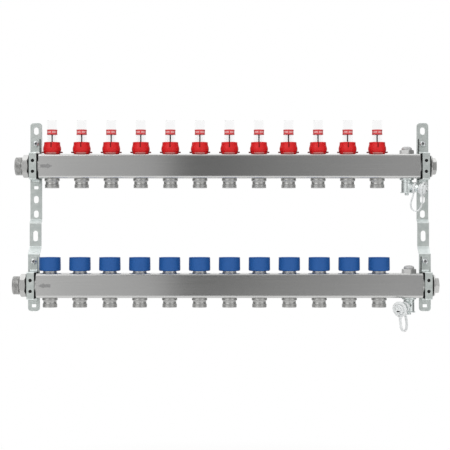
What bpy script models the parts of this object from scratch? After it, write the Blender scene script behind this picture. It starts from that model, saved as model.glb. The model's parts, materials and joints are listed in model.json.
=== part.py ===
"""Underfloor heating manifold: a supply bar with flow meters above a return bar with regulating caps,
both clamped to two cranked wall brackets.

Metres, +Z up, +X along the bars, +Y into the wall. The origin is on the wall plane, midway between
the brackets and midway between the two bar axes.
"""

import math

import bmesh
import bpy
from mathutils import Matrix, Vector

# Layout
CIRCUITS = 12
PORT_PITCH = 0.055
BAR_SPACING = 0.220
BRACKET_TO_PORT = 0.033
GAP = 0.0003

# Bars
BAR_HEIGHT = 0.045
BAR_DEPTH = 0.040
BAR_EDGE = 0.0055
BAR_WALL = 0.002
BAR_SHORT_OF_BRACKET = 0.010
NECK_RADIUS = 0.020
NECK_WALL = 0.0045
NECK_PAST_BRACKET = 0.010
WELD = 0.001

# Outlet nipples under both bars
NIPPLE_COLLAR_RADIUS = 0.014
NIPPLE_COLLAR_HEIGHT = 0.005
NIPPLE_WAIST_RADIUS = 0.0115
NIPPLE_WAIST_HEIGHT = 0.006
NIPPLE_THREAD_RADIUS = 0.0132
NIPPLE_THREAD_HEIGHT = 0.0068
NIPPLE_BORE_RADIUS = 0.008

# Flow meters on the supply bar
METER_SEAT_RADIUS = 0.0147
METER_SEAT_HEIGHT = 0.0024
METER_FLANGE_RADIUS = 0.0203
METER_FLANGE_HEIGHT = 0.0022
METER_GUIDE_RADIUS = 0.0055
METER_GUIDE_HEIGHT = 0.006
RING_FOOT_RADIUS = 0.0149
RING_GRIP_RADIUS = 0.0168
RING_TOP_RADIUS = 0.0150
RING_GRIP_FROM = 0.0045
RING_GRIP_HEIGHT = 0.0038
RING_HEIGHT = 0.0175
GLASS_RADIUS = 0.009
GLASS_WALL = 0.0016
GLASS_HEIGHT = 0.0406
ROD_RADIUS = 0.0015
FLOAT_RADIUS = 0.0058
FLOAT_THICKNESS = 0.003
FLOAT_TOP_ABOVE_RING = 0.0188
PADDLE_RADIUS = 0.0042
PADDLE_THICKNESS = 0.0015
PADDLE_BELOW_TOP_WALL = 0.004

# Regulating caps on the return bar
INSERT_RADIUS = 0.0135
INSERT_HEIGHT = 0.004
SPINDLE_RADIUS = 0.009
SPINDLE_HEIGHT = 0.011
CAP_BORE_RADIUS = 0.0112
CAP_TOP_RADIUS = 0.0192
CAP_BASE_RADIUS = 0.01985
CAP_EDGE = 0.0022
CAP_HEIGHT = 0.025
CAP_ROOF = 0.009

# Brackets
PLATE_WIDTH = 0.022
PLATE_THICKNESS = 0.0025
PLATE_ABOVE_SUPPLY = 0.0826
PLATE_BELOW_RETURN = 0.049
PLATE_CORNER = 0.006
FIRST_CRANK_Z = 0.0078
FIRST_CRANK_DROP = 0.006
FIRST_CRANK_OUT = 0.009
SECOND_CRANK_Z = -0.0464
SECOND_CRANK_DROP = 0.0132
SECOND_CRANK_OUT = 0.021
CRANK_BEND = 0.003
SLOT_WIDTH = 0.009
TOP_SLOT_LENGTH = 0.0135
TOP_SLOT_ABOVE_SUPPLY = 0.0675
WALL_SLOT_LENGTH = 0.0135
WALL_SLOTS_BELOW_SUPPLY = (0.0613, 0.0885)
LONG_SLOT_LENGTH = 0.0195
LONG_SLOT_Z = -0.0196
WINDOW_WIDTH = 0.0082
WINDOW_HEIGHT = 0.0056
WINDOW_CORNER = 0.0011
WINDOW_BELOW_BAR = 0.039

# Clamps
LINER_THICKNESS = 0.0029
LINER_WIDTH = 0.018
NUB_RADIUS = 0.0028
NUB_OFFSET = 0.010
NUB_PROUD = 0.0004
STRAP_WIDTH = 0.0136
STRAP_THICKNESS = 0.0016
STRAP_BEND = 0.005
STRAP_ROOT_BEND = 0.002
EAR_ABOVE_BAR = 0.053
TONGUE_BELOW_BAR = 0.032
SCREW_ABOVE_BAR = 0.0435
SCREW_HOLE_RADIUS = 0.0023

# Inlet unions at the left end
UNION_HEX_ACROSS = 0.0373
UNION_HEX_LENGTH = 0.0112
UNION_RELIEF_RADIUS = 0.0152
UNION_RELIEF_LENGTH = 0.0016
UNION_THREAD_RADIUS = 0.0166
UNION_THREAD_LENGTH = 0.0118
UNION_BORE_RADIUS = 0.012
SPIGOT_LENGTH = 0.012

# End plugs at the right end
PLUG_FLANGE_RADIUS = 0.020
PLUG_FLANGE_LENGTH = 0.0033
PLUG_HEX_ACROSS = 0.027
PLUG_HEX_LENGTH = 0.0074

# Air vents on top of both bars
VENT_HEX_ACROSS = 0.0218
VENT_HEX_HEIGHT = 0.0078
VENT_RADIUS = 0.0098
VENT_HEIGHT = 0.0062
VENT_SIDE_HEIGHT = 0.0021
VENT_CROWN_RADIUS = 0.0072
VENT_SHANK_RADIUS = 0.004
VENT_SHANK_LENGTH = 0.006
TURNING_GAP = 0.0006

# Drain cocks under both bars
DRAIN_COLLAR_RADIUS = 0.0132
DRAIN_COLLAR_HEIGHT = 0.003
DRAIN_SHANK_RADIUS = 0.006
DRAIN_BODY_RADIUS = 0.010
DRAIN_BODY_HEIGHT = 0.0235
DRAIN_LIP_RADIUS = 0.0117
DRAIN_LIP_HEIGHT = 0.0014
DRAIN_STEM_RADIUS = 0.0036
DRAIN_STEM_HEIGHT = 0.0046
SPOUT_RADIUS = 0.008
SPOUT_BORE_RADIUS = 0.0055
SPOUT_BORE_DEPTH = 0.018
SPOUT_REACH = 0.0375
SPOUT_BELOW_BAR = 0.0130
SPOUT_TILT = math.radians(12.0)
SUPPLY_SPOUT_TURN = math.radians(62.0)
RETURN_SPOUT_TURN = math.radians(-38.0)
DRAIN_CAP_RADIUS = 0.011
DRAIN_CAP_LENGTH = 0.014
DRAIN_CAP_WALL = 0.0022
TETHER_WIDTH = 0.005
TETHER_THICKNESS = 0.0019

# The tether's route in the spout's own plane: out from the swivel axis, and up from the bar's underside
TETHER_ROUTE = [
    (0.0135, -0.0246),
    (0.0133, -0.0280),
    (0.0110, -0.0360),
    (0.0082, -0.0460),
    (0.0088, -0.0545),
    (0.0140, -0.0600),
    (0.0215, -0.0600),
    (0.0275, -0.0540),
    (0.0305, -0.0450),
    (0.0312, -0.0375),
    (0.0310, -0.0314),
]

# Facets round a full turn, and steps in a rounded corner, a bend and a stretch of the tether
FINE = 16
ROUND = 12
SMALL = 10
THIN = 8
ROD_SIDES = 6
CORNER_STEPS = 3
BEND_STEPS = 2
TETHER_STEPS = 2

# The share of a side that one rounded corner may use, and the least mitre of a bent sheet
CORNER_SHARE = 0.49
LEAST_MITRE = 0.2

# Places that follow from the sizes
HALF_ROW = PORT_PITCH * CIRCUITS / 2
BRACKET_X = HALF_ROW + BRACKET_TO_PORT
BAR_END = BRACKET_X - BAR_SHORT_OF_BRACKET
NECK_END = BRACKET_X + NECK_PAST_BRACKET
NECK_BORE_RADIUS = NECK_RADIUS - NECK_WALL
LINER_RADIUS = NECK_RADIUS + GAP + LINER_THICKNESS
STRAP_INSIDE = LINER_RADIUS + GAP
SUPPLY_Y = -(PLATE_THICKNESS + STRAP_INSIDE)
RETURN_Y = SUPPLY_Y - FIRST_CRANK_OUT - SECOND_CRANK_OUT
SUPPLY_Z = BAR_SPACING / 2
RETURN_Z = -BAR_SPACING / 2
HALF_BAR = BAR_HEIGHT / 2
METER_BASE = METER_SEAT_HEIGHT + METER_FLANGE_HEIGHT + GAP
PORTS = [PORT_PITCH * i - HALF_ROW for i in range(CIRCUITS)]
SERVICE_X = HALF_ROW

# Frames that lay a flat outline along the row axes
ALONG_X = Matrix(((0, 0, 1, 0), (1, 0, 0, 0), (0, 1, 0, 0), (0, 0, 0, 1)))
ALONG_Y = Matrix(((1, 0, 0, 0), (0, 0, -1, 0), (0, 1, 0, 0), (0, 0, 0, 1)))
TOWARDS_X = Matrix.Rotation(math.pi / 2, 4, "Y")


def clear_scene():
    for thing in list(bpy.data.objects):
        bpy.data.objects.remove(thing, do_unlink=True)


def material(name, colour, roughness, metallic):
    made = bpy.data.materials.new(name)
    made.use_nodes = True
    shader = made.node_tree.nodes["Principled BSDF"]
    shader.inputs["Base Color"].default_value = (*colour, 1.0)
    shader.inputs["Roughness"].default_value = roughness
    shader.inputs["Metallic"].default_value = metallic
    return made


def turned(profile, sides, place=Matrix()):
    """A closed body turned about Z from (radius, height) points; a profile that starts and ends on the
    axis is open, any other is closed on itself."""
    body = bmesh.new()
    points = [body.verts.new((radius, 0.0, height)) for radius, height in profile]
    lines = [body.edges.new(pair) for pair in zip(points, points[1:])]
    if profile[0][0] > 0 or profile[-1][0] > 0:
        lines.append(body.edges.new((points[-1], points[0])))
    bmesh.ops.spin(
        body,
        geom=points + lines,
        cent=(0, 0, 0),
        axis=(0, 0, 1),
        dvec=(0, 0, 0),
        angle=2 * math.pi,
        steps=sides,
        use_merge=True,
        use_duplicate=False,
    )
    bmesh.ops.remove_doubles(body, verts=body.verts, dist=1e-6)
    bmesh.ops.transform(body, matrix=place, verts=body.verts)
    bmesh.ops.recalc_face_normals(body, faces=body.faces)
    return body


def prism(outline, length, place=Matrix()):
    """A flat outline pushed out along its own Z, half to each side."""
    body = bmesh.new()
    corners = [body.verts.new((a, b, -length / 2)) for a, b in outline]
    face = body.faces.new(corners)
    pushed = bmesh.ops.extrude_face_region(body, geom=[face])["geom"]
    moved = [item for item in pushed if isinstance(item, bmesh.types.BMVert)]
    bmesh.ops.translate(body, verts=moved, vec=(0, 0, length))
    bmesh.ops.transform(body, matrix=place, verts=body.verts)
    bmesh.ops.recalc_face_normals(body, faces=body.faces)
    return body


def gathered(bodies):
    """Several bodies in one mesh."""
    whole = bmesh.new()
    for body in bodies:
        mesh = bpy.data.meshes.new("gathered")
        body.to_mesh(mesh)
        body.free()
        whole.from_mesh(mesh)
        bpy.data.meshes.remove(mesh)
    return whole


def placed(name, body, finish, at=(0, 0, 0)):
    mesh = bpy.data.meshes.new(name)
    body.to_mesh(mesh)
    body.free()
    mesh.materials.append(finish)
    return copied(name, mesh, at)


def copied(name, mesh, at):
    thing = bpy.data.objects.new(name, mesh)
    thing.location = at
    bpy.context.scene.collection.objects.link(thing)
    return thing


def cut(target, operation, name, body):
    """Joins a hidden body to the target, or takes it away."""
    mesh = bpy.data.meshes.new(name)
    body.to_mesh(mesh)
    body.free()
    tool = copied(name, mesh, target.location)
    tool.rotation_euler = target.rotation_euler
    tool.hide_render = True
    tool.display_type = "WIRE"
    step = target.modifiers.new(name, "BOOLEAN")
    step.operation = operation
    step.solver = "EXACT"
    step.object = tool


def eased(points, radius, steps, closed=False):
    """The same run of points with its corners rounded."""
    count = len(points)
    out = []
    for i, here in enumerate(points):
        if not closed and i in (0, count - 1):
            out.append(here)
            continue
        here = Vector(here)
        back = Vector(points[i - 1]) - here
        ahead = Vector(points[(i + 1) % count]) - here
        half = back.angle(ahead) / 2
        room = min(back.length, ahead.length) * CORNER_SHARE
        reach = min(radius / math.tan(half), room)
        true_radius = reach * math.tan(half)
        middle = here + (back.normalized() + ahead.normalized()).normalized() * true_radius / math.sin(half)
        first = here + back.normalized() * reach - middle
        turn = first.angle_signed(here + ahead.normalized() * reach - middle)
        for k in range(steps + 1):
            swung = first.copy()
            swung.rotate(Matrix.Rotation(-turn * k / steps, 2))
            out.append(tuple(middle + swung))
    return out


def ribbon(points, thickness):
    """The outline of a sheet of even thickness whose middle follows the points."""
    near, far = [], []
    for i, here in enumerate(points):
        here = Vector(here)
        before = (here - Vector(points[i - 1])).normalized() if i else None
        after = (Vector(points[i + 1]) - here).normalized() if i + 1 < len(points) else None
        before = before or after
        after = after or before
        along = (before + after).normalized()
        side = Vector((-along.y, along.x))
        stretch = thickness / 2 / max(side.dot(Vector((-before.y, before.x))), LEAST_MITRE)
        near.append(tuple(here + side * stretch))
        far.append(tuple(here - side * stretch))
    return near + far[::-1]


def box_outline(width, height, radius, steps):
    a, b = width / 2, height / 2
    return eased([(-a, -b), (a, -b), (a, b), (-a, b)], radius, steps, closed=True)


def hexagon(across, turn=0.0):
    reach = across / 2 / math.cos(math.pi / 6)
    angles = [turn + math.pi / 3 * i for i in range(6)]
    return [(reach * math.cos(angle), reach * math.sin(angle)) for angle in angles]


def at(x, y, z):
    return Matrix.Translation((x, y, z))


def post(radius, low, high, sides, x=0.0):
    return turned([(0, low), (radius, low), (radius, high), (0, high)], sides, at(x, 0, 0))


def nipple(x):
    low = -HALF_BAR - NIPPLE_COLLAR_HEIGHT
    lower = low - NIPPLE_WAIST_HEIGHT
    lowest = lower - NIPPLE_THREAD_HEIGHT
    return turned(
        [
            (0, WELD - HALF_BAR),
            (NIPPLE_COLLAR_RADIUS, WELD - HALF_BAR),
            (NIPPLE_COLLAR_RADIUS, low),
            (NIPPLE_WAIST_RADIUS, low),
            (NIPPLE_WAIST_RADIUS, lower),
            (NIPPLE_THREAD_RADIUS, lower),
            (NIPPLE_THREAD_RADIUS, lowest),
            (0, lowest),
        ],
        SMALL,
        at(x, 0, 0),
    )


def nipple_bore(x):
    low = -HALF_BAR - NIPPLE_COLLAR_HEIGHT - NIPPLE_WAIST_HEIGHT - NIPPLE_THREAD_HEIGHT - WELD
    return post(NIPPLE_BORE_RADIUS, low, BAR_WALL + WELD - HALF_BAR, SMALL, x)


def meter_seat(x):
    seat = HALF_BAR + METER_SEAT_HEIGHT
    flange = seat + METER_FLANGE_HEIGHT
    guide = flange + METER_GUIDE_HEIGHT
    return turned(
        [
            (0, guide),
            (METER_GUIDE_RADIUS, guide),
            (METER_GUIDE_RADIUS, flange),
            (METER_FLANGE_RADIUS, flange),
            (METER_FLANGE_RADIUS, seat),
            (METER_SEAT_RADIUS, seat),
            (METER_SEAT_RADIUS, HALF_BAR - WELD),
            (0, HALF_BAR - WELD),
        ],
        SMALL,
        at(x, 0, 0),
    )


def meter_bore(x):
    high = HALF_BAR + METER_SEAT_HEIGHT + METER_FLANGE_HEIGHT + METER_GUIDE_HEIGHT + WELD
    return post(ROD_RADIUS + GAP, HALF_BAR - BAR_WALL - WELD, high, ROD_SIDES, x)


def valve_insert(x):
    band = HALF_BAR + INSERT_HEIGHT
    top = band + SPINDLE_HEIGHT
    return turned(
        [
            (0, top),
            (SPINDLE_RADIUS, top),
            (SPINDLE_RADIUS, band),
            (INSERT_RADIUS, band),
            (INSERT_RADIUS, HALF_BAR - WELD),
            (0, HALF_BAR - WELD),
        ],
        SMALL,
        at(x, 0, 0),
    )


def bar(name, valve, bore, finish, y, z):
    """A square tube with round necks, carrying the valve seats, nipples and service bosses."""
    middle = prism(box_outline(BAR_DEPTH, BAR_HEIGHT, BAR_EDGE, CORNER_STEPS), 2 * BAR_END, ALONG_X)
    whole = placed(name, middle, finish, (0, y, z))

    neck_from = BAR_END - WELD
    neck_length = NECK_END - neck_from
    neck_middle = (NECK_END + neck_from) / 2
    neck_outline = [(0, -neck_length / 2), (NECK_RADIUS, -neck_length / 2)]
    neck_outline += [(NECK_RADIUS, neck_length / 2), (0, neck_length / 2)]
    fittings = [turned(neck_outline, FINE, at(side * neck_middle, 0, 0) @ TOWARDS_X) for side in (-1, 1)]
    for x in PORTS:
        fittings += [valve(x), nipple(x)]
    vent_middle = HALF_BAR + (VENT_HEX_HEIGHT - WELD) / 2
    boss = at(SERVICE_X, 0, vent_middle)
    fittings.append(prism(hexagon(VENT_HEX_ACROSS), VENT_HEX_HEIGHT + WELD, boss))
    collar_low = -HALF_BAR - DRAIN_COLLAR_HEIGHT
    fittings.append(post(DRAIN_COLLAR_RADIUS, collar_low, WELD - HALF_BAR, SMALL, SERVICE_X))
    cut(whole, "UNION", name + "_fittings", gathered(fittings))

    waterway = box_outline(
        BAR_DEPTH - 2 * BAR_WALL, BAR_HEIGHT - 2 * BAR_WALL, BAR_EDGE - BAR_WALL, 1
    )
    cut(whole, "DIFFERENCE", name + "_waterway", prism(waterway, 2 * (BAR_END - BAR_WALL), ALONG_X))

    bores = [nipple_bore(x) for x in PORTS]
    if bore:
        bores += [bore(x) for x in PORTS]
    throat = neck_length + BAR_WALL + 2 * WELD
    throat_outline = [(0, -throat / 2), (NECK_BORE_RADIUS, -throat / 2)]
    throat_outline += [(NECK_BORE_RADIUS, throat / 2), (0, throat / 2)]
    throat_middle = NECK_END + WELD - throat / 2
    bores += [turned(throat_outline, FINE, at(side * throat_middle, 0, 0) @ TOWARDS_X) for side in (-1, 1)]
    vent_bore = (VENT_SHANK_RADIUS + TURNING_GAP) / math.cos(math.pi / SMALL)
    vent_top = HALF_BAR + VENT_HEX_HEIGHT + WELD
    bores.append(post(vent_bore, HALF_BAR - BAR_WALL - WELD, vent_top, SMALL, SERVICE_X))
    drain_bore = (DRAIN_SHANK_RADIUS + TURNING_GAP) / math.cos(math.pi / SMALL)
    bores.append(post(drain_bore, collar_low - WELD, BAR_WALL + WELD - HALF_BAR, SMALL, SERVICE_X))
    cut(whole, "DIFFERENCE", name + "_bores", gathered(bores))
    return whole


def meter_ring():
    """The setting ring with its sight glass; the height is measured from its foot."""
    grip = RING_GRIP_FROM
    inside = GLASS_RADIUS - GLASS_WALL
    top = RING_HEIGHT + GLASS_HEIGHT
    return turned(
        [
            (0, top),
            (GLASS_RADIUS, top),
            (GLASS_RADIUS, RING_HEIGHT),
            (RING_TOP_RADIUS, RING_HEIGHT),
            (RING_TOP_RADIUS, grip + RING_GRIP_HEIGHT + RING_GRIP_RADIUS - RING_TOP_RADIUS),
            (RING_GRIP_RADIUS, grip + RING_GRIP_HEIGHT),
            (RING_GRIP_RADIUS, grip),
            (RING_FOOT_RADIUS, 0),
            (inside, 0),
            (inside, top - GLASS_WALL),
            (0, top - GLASS_WALL),
        ],
        ROUND,
    )


def flow_float():
    """The indicator disc on its rod, with the paddle that hangs in the bar; the height is measured from
    the foot of the setting ring."""
    top = RING_HEIGHT + FLOAT_TOP_ABOVE_RING
    paddle = -METER_BASE - BAR_WALL - PADDLE_BELOW_TOP_WALL
    return turned(
        [
            (0, top),
            (FLOAT_RADIUS, top),
            (FLOAT_RADIUS, top - FLOAT_THICKNESS),
            (ROD_RADIUS, top - FLOAT_THICKNESS),
            (ROD_RADIUS, paddle),
            (PADDLE_RADIUS, paddle),
            (PADDLE_RADIUS, paddle - PADDLE_THICKNESS),
            (0, paddle - PADDLE_THICKNESS),
        ],
        ROD_SIDES,
    )


def return_cap():
    return turned(
        [
            (0, CAP_HEIGHT),
            (CAP_TOP_RADIUS - CAP_EDGE / 2, CAP_HEIGHT),
            (CAP_TOP_RADIUS, CAP_HEIGHT - CAP_EDGE / 2),
            (CAP_BASE_RADIUS, CAP_EDGE),
            (CAP_BASE_RADIUS - CAP_EDGE, 0),
            (CAP_BORE_RADIUS, 0),
            (CAP_BORE_RADIUS, CAP_HEIGHT - CAP_ROOF),
            (0, CAP_HEIGHT - CAP_ROOF),
        ],
        ROUND,
    )


def bracket(name, x, finish):
    """A strip cranked forward twice, with its fixing slots."""
    top = SUPPLY_Z + PLATE_ABOVE_SUPPLY
    low = RETURN_Z - PLATE_BELOW_RETURN
    middle = -PLATE_THICKNESS / 2
    second = middle - FIRST_CRANK_OUT
    third = second - SECOND_CRANK_OUT
    run = [
        (middle, top),
        (middle, FIRST_CRANK_Z + FIRST_CRANK_DROP / 2),
        (second, FIRST_CRANK_Z - FIRST_CRANK_DROP / 2),
        (second, SECOND_CRANK_Z + SECOND_CRANK_DROP / 2),
        (third, SECOND_CRANK_Z - SECOND_CRANK_DROP / 2),
        (third, low),
    ]
    outline = ribbon(eased(run, CRANK_BEND, BEND_STEPS), PLATE_THICKNESS)
    plate = placed(name, prism(outline, PLATE_WIDTH, ALONG_X), finish, (x, 0, 0))

    depth = 4 * (FIRST_CRANK_OUT + SECOND_CRANK_OUT + PLATE_THICKNESS)
    middle_place = at(0, 0, (top + low) / 2) @ ALONG_Y
    front = prism(box_outline(PLATE_WIDTH, top - low, PLATE_CORNER, CORNER_STEPS), depth, middle_place)
    cut(plate, "INTERSECT", name + "_outline", front)

    slots = [(TOP_SLOT_LENGTH, SUPPLY_Z + TOP_SLOT_ABOVE_SUPPLY), (LONG_SLOT_LENGTH, LONG_SLOT_Z)]
    slots += [(WALL_SLOT_LENGTH, SUPPLY_Z - drop) for drop in WALL_SLOTS_BELOW_SUPPLY]
    holes = [
        prism(box_outline(SLOT_WIDTH, length, SLOT_WIDTH / 2, CORNER_STEPS), depth, at(0, 0, z) @ ALONG_Y)
        for length, z in slots
    ]
    window = box_outline(WINDOW_WIDTH, WINDOW_HEIGHT, WINDOW_CORNER, 1)
    screw = [(0, -depth / 2), (SCREW_HOLE_RADIUS, -depth / 2)]
    screw += [(SCREW_HOLE_RADIUS, depth / 2), (0, depth / 2)]
    for z in (SUPPLY_Z, RETURN_Z):
        holes.append(prism(window, depth, at(0, 0, z - WINDOW_BELOW_BAR) @ ALONG_Y))
        holes.append(turned(screw, THIN, at(0, 0, z + SCREW_ABOVE_BAR) @ ALONG_Y))
    cut(plate, "DIFFERENCE", name + "_slots", gathered(holes))
    return plate


def clamp_liner():
    """The rubber ring on the neck, with two nubs that stand through the strap."""
    half = LINER_WIDTH / 2
    inside = NECK_RADIUS + GAP
    ring = turned(
        [(inside, -half), (LINER_RADIUS, -half), (LINER_RADIUS, half), (inside, half)], FINE, TOWARDS_X
    )
    tip = STRAP_INSIDE + STRAP_THICKNESS + NUB_PROUD
    root = LINER_RADIUS - LINER_THICKNESS
    length = tip - root
    nub = [(0, -length / 2), (NUB_RADIUS, -length / 2), (NUB_RADIUS, length / 2), (0, length / 2)]
    nubs = [
        turned(nub, THIN, at(0, -(tip + root) / 2, side * NUB_OFFSET) @ ALONG_Y) for side in (-1, 1)
    ]
    return ring, gathered(nubs)


def clamp_strap():
    """The steel strap: an ear on the bracket, a square loop round the liner and a short tongue."""
    half = STRAP_THICKNESS / 2
    back = STRAP_INSIDE - GAP - half
    loop = STRAP_INSIDE + half
    run = [(back, EAR_ABOVE_BAR), (back, loop), (-loop, loop), (-loop, -loop), (back, -loop)]
    run.append((back, -TONGUE_BELOW_BAR))
    rounded = [run[0]]
    bends = (STRAP_ROOT_BEND, STRAP_BEND, STRAP_BEND, STRAP_ROOT_BEND)
    for i, bend in enumerate(bends, start=1):
        rounded += eased(run[i - 1 : i + 2], bend, CORNER_STEPS if bend == STRAP_BEND else BEND_STEPS)[1:-1]
    rounded.append(run[-1])
    body = prism(ribbon(rounded, STRAP_THICKNESS), STRAP_WIDTH, ALONG_X)
    deep = 4 * STRAP_THICKNESS
    reach = (NUB_RADIUS + GAP) / math.cos(math.pi / THIN)
    hole = [(0, -deep / 2), (reach, -deep / 2), (reach, deep / 2), (0, deep / 2)]
    holes = [turned(hole, THIN, at(0, -loop, side * NUB_OFFSET) @ ALONG_Y) for side in (-1, 1)]
    screw = [(0, -deep / 2), (SCREW_HOLE_RADIUS, -deep / 2)]
    screw += [(SCREW_HOLE_RADIUS, deep / 2), (0, deep / 2)]
    holes.append(turned(screw, THIN, at(0, back, SCREW_ABOVE_BAR) @ ALONG_Y))
    return body, gathered(holes)


def inlet_union(name, finish, y, z):
    """A hexagon with a spigot in the neck and a male thread outwards; X runs outwards from the hexagon's
    inner face, so the piece is turned half round at the left end."""
    hexagon_end = UNION_HEX_LENGTH
    relief = hexagon_end + UNION_RELIEF_LENGTH
    tip = relief + UNION_THREAD_LENGTH
    spigot = NECK_BORE_RADIUS - GAP
    outward = Matrix.Rotation(-math.pi / 2, 4, "Y")
    hex_place = at(-hexagon_end / 2, 0, 0) @ ALONG_X
    body = prism(hexagon(UNION_HEX_ACROSS, math.pi / 2), hexagon_end, hex_place)
    piece = placed(name, body, finish, (-(NECK_END + GAP), y, z))
    sleeve = turned(
        [
            (0, -SPIGOT_LENGTH),
            (spigot, -SPIGOT_LENGTH),
            (spigot, WELD),
            (UNION_RELIEF_RADIUS, WELD),
            (UNION_RELIEF_RADIUS, relief),
            (UNION_THREAD_RADIUS, relief),
            (UNION_THREAD_RADIUS, tip),
            (0, tip),
        ],
        FINE,
        outward,
    )
    cut(piece, "UNION", name + "_sleeve", sleeve)
    ends = (-SPIGOT_LENGTH - WELD, tip + WELD)
    waterway = [(0, ends[0]), (UNION_BORE_RADIUS, ends[0]), (UNION_BORE_RADIUS, ends[1]), (0, ends[1])]
    cut(piece, "DIFFERENCE", name + "_waterway", turned(waterway, FINE, outward))
    return piece


def end_plug(name, finish, y, z):
    """A flanged plug with a spigot in the neck and a hexagon head."""
    spigot = NECK_BORE_RADIUS - GAP
    body = turned(
        [
            (0, -SPIGOT_LENGTH),
            (spigot, -SPIGOT_LENGTH),
            (spigot, 0),
            (PLUG_FLANGE_RADIUS, 0),
            (PLUG_FLANGE_RADIUS, PLUG_FLANGE_LENGTH),
            (0, PLUG_FLANGE_LENGTH),
        ],
        FINE,
        TOWARDS_X,
    )
    piece = placed(name, body, finish, (NECK_END + GAP, y, z))
    length = PLUG_HEX_LENGTH + WELD
    head = at(PLUG_FLANGE_LENGTH - WELD + length / 2, 0, 0) @ ALONG_X
    cut(piece, "UNION", name + "_head", prism(hexagon(PLUG_HEX_ACROSS, math.pi / 2), length, head))
    return piece


def air_vent():
    """The bleed screw that stands on the vent boss."""
    return turned(
        [
            (0, VENT_HEIGHT),
            (VENT_CROWN_RADIUS, VENT_HEIGHT),
            (VENT_RADIUS, VENT_SIDE_HEIGHT),
            (VENT_RADIUS, 0),
            (VENT_SHANK_RADIUS, 0),
            (VENT_SHANK_RADIUS, -VENT_SHANK_LENGTH),
            (0, -VENT_SHANK_LENGTH),
        ],
        SMALL,
    )


def spout_point(reach):
    """A point on the spout's axis, from the middle of the bar's underside; the spout is towards the front."""
    return Vector((0, -reach * math.cos(SPOUT_TILT), -SPOUT_BELOW_BAR - reach * math.sin(SPOUT_TILT)))


SPOUT_FRAME = Matrix.Rotation(math.pi / 2 + SPOUT_TILT, 4, "X")


def drain_body(name, finish, turn, y, z):
    """A cock that swivels on the bar's boss, with a spout to one side."""
    top = -DRAIN_COLLAR_HEIGHT - GAP
    base = top - DRAIN_BODY_HEIGHT
    shank = BAR_WALL - GAP
    body = turned(
        [
            (0, shank),
            (DRAIN_SHANK_RADIUS, shank),
            (DRAIN_SHANK_RADIUS, top),
            (DRAIN_BODY_RADIUS, top),
            (DRAIN_BODY_RADIUS, base + DRAIN_LIP_HEIGHT),
            (DRAIN_LIP_RADIUS, base + DRAIN_LIP_HEIGHT),
            (DRAIN_LIP_RADIUS, base),
            (DRAIN_STEM_RADIUS, base),
            (DRAIN_STEM_RADIUS, base - DRAIN_STEM_HEIGHT),
            (0, base - DRAIN_STEM_HEIGHT),
        ],
        ROUND,
    )
    cock = placed(name, body, finish, (SERVICE_X, y, z - HALF_BAR))
    cock.rotation_euler = (0, 0, turn)
    start = DRAIN_BODY_RADIUS / 2
    pipe = [(0, start), (SPOUT_RADIUS, start), (SPOUT_RADIUS, SPOUT_REACH), (0, SPOUT_REACH)]
    frame = Matrix.Translation(spout_point(0)) @ SPOUT_FRAME
    cut(cock, "UNION", name + "_spout", turned(pipe, ROUND, frame))
    deep = SPOUT_REACH - SPOUT_BORE_DEPTH
    ends = (deep, SPOUT_REACH + WELD)
    bore = [(0, ends[0]), (SPOUT_BORE_RADIUS, ends[0]), (SPOUT_BORE_RADIUS, ends[1]), (0, ends[1])]
    cut(cock, "DIFFERENCE", name + "_bore", turned(bore, SMALL, frame))
    return cock


def drain_cap():
    """The screw cap; the height is measured along the spout from the cap's open end."""
    inside = (SPOUT_RADIUS + TURNING_GAP) / math.cos(math.pi / ROUND)
    floor = DRAIN_CAP_LENGTH - DRAIN_CAP_WALL
    edge = DRAIN_CAP_WALL / 2
    return turned(
        [
            (0, DRAIN_CAP_LENGTH),
            (DRAIN_CAP_RADIUS - edge, DRAIN_CAP_LENGTH),
            (DRAIN_CAP_RADIUS, DRAIN_CAP_LENGTH - edge),
            (DRAIN_CAP_RADIUS, 0),
            (inside, 0),
            (inside, floor),
            (0, floor),
        ],
        ROUND,
    )


def through(points, steps):
    """A smooth run through the points, with that many steps in each stretch."""
    ends = [Vector(points[0]) * 2 - Vector(points[1])]
    ends.append(Vector(points[-1]) * 2 - Vector(points[-2]))
    held = [ends[0]] + [Vector(point) for point in points] + [ends[1]]
    run = []
    for before, here, there, after in zip(held, held[1:], held[2:], held[3:]):
        for k in range(steps):
            t = k / steps
            bend = (2 * before - 5 * here + 4 * there - after) * t * t
            twist = (3 * here - before - 3 * there + after) * t * t * t
            run.append(tuple((2 * here + (there - before) * t + bend + twist) / 2))
    run.append(tuple(points[-1]))
    return run


def tether():
    """The band that keeps the cap: a loop that hangs in the spout's own plane, from under the spout to
    under the cap."""
    run = [(-out, up) for out, up in through(TETHER_ROUTE, TETHER_STEPS)]
    return prism(ribbon(run, TETHER_THICKNESS), TETHER_WIDTH, ALONG_X)


def drain(side, metal, plastic, turn, y, z):
    cock = drain_body("drain_cock_" + side, metal, turn, y, z)
    clear = SPOUT_REACH + GAP - (DRAIN_CAP_LENGTH - DRAIN_CAP_WALL)
    cap = placed("drain_cap_" + side, drain_cap(), plastic, spout_point(clear))
    cap.rotation_euler = SPOUT_FRAME.to_euler()
    cap.parent = cock
    strap = placed("drain_tether_" + side, tether(), plastic)
    strap.parent = cock


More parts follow.
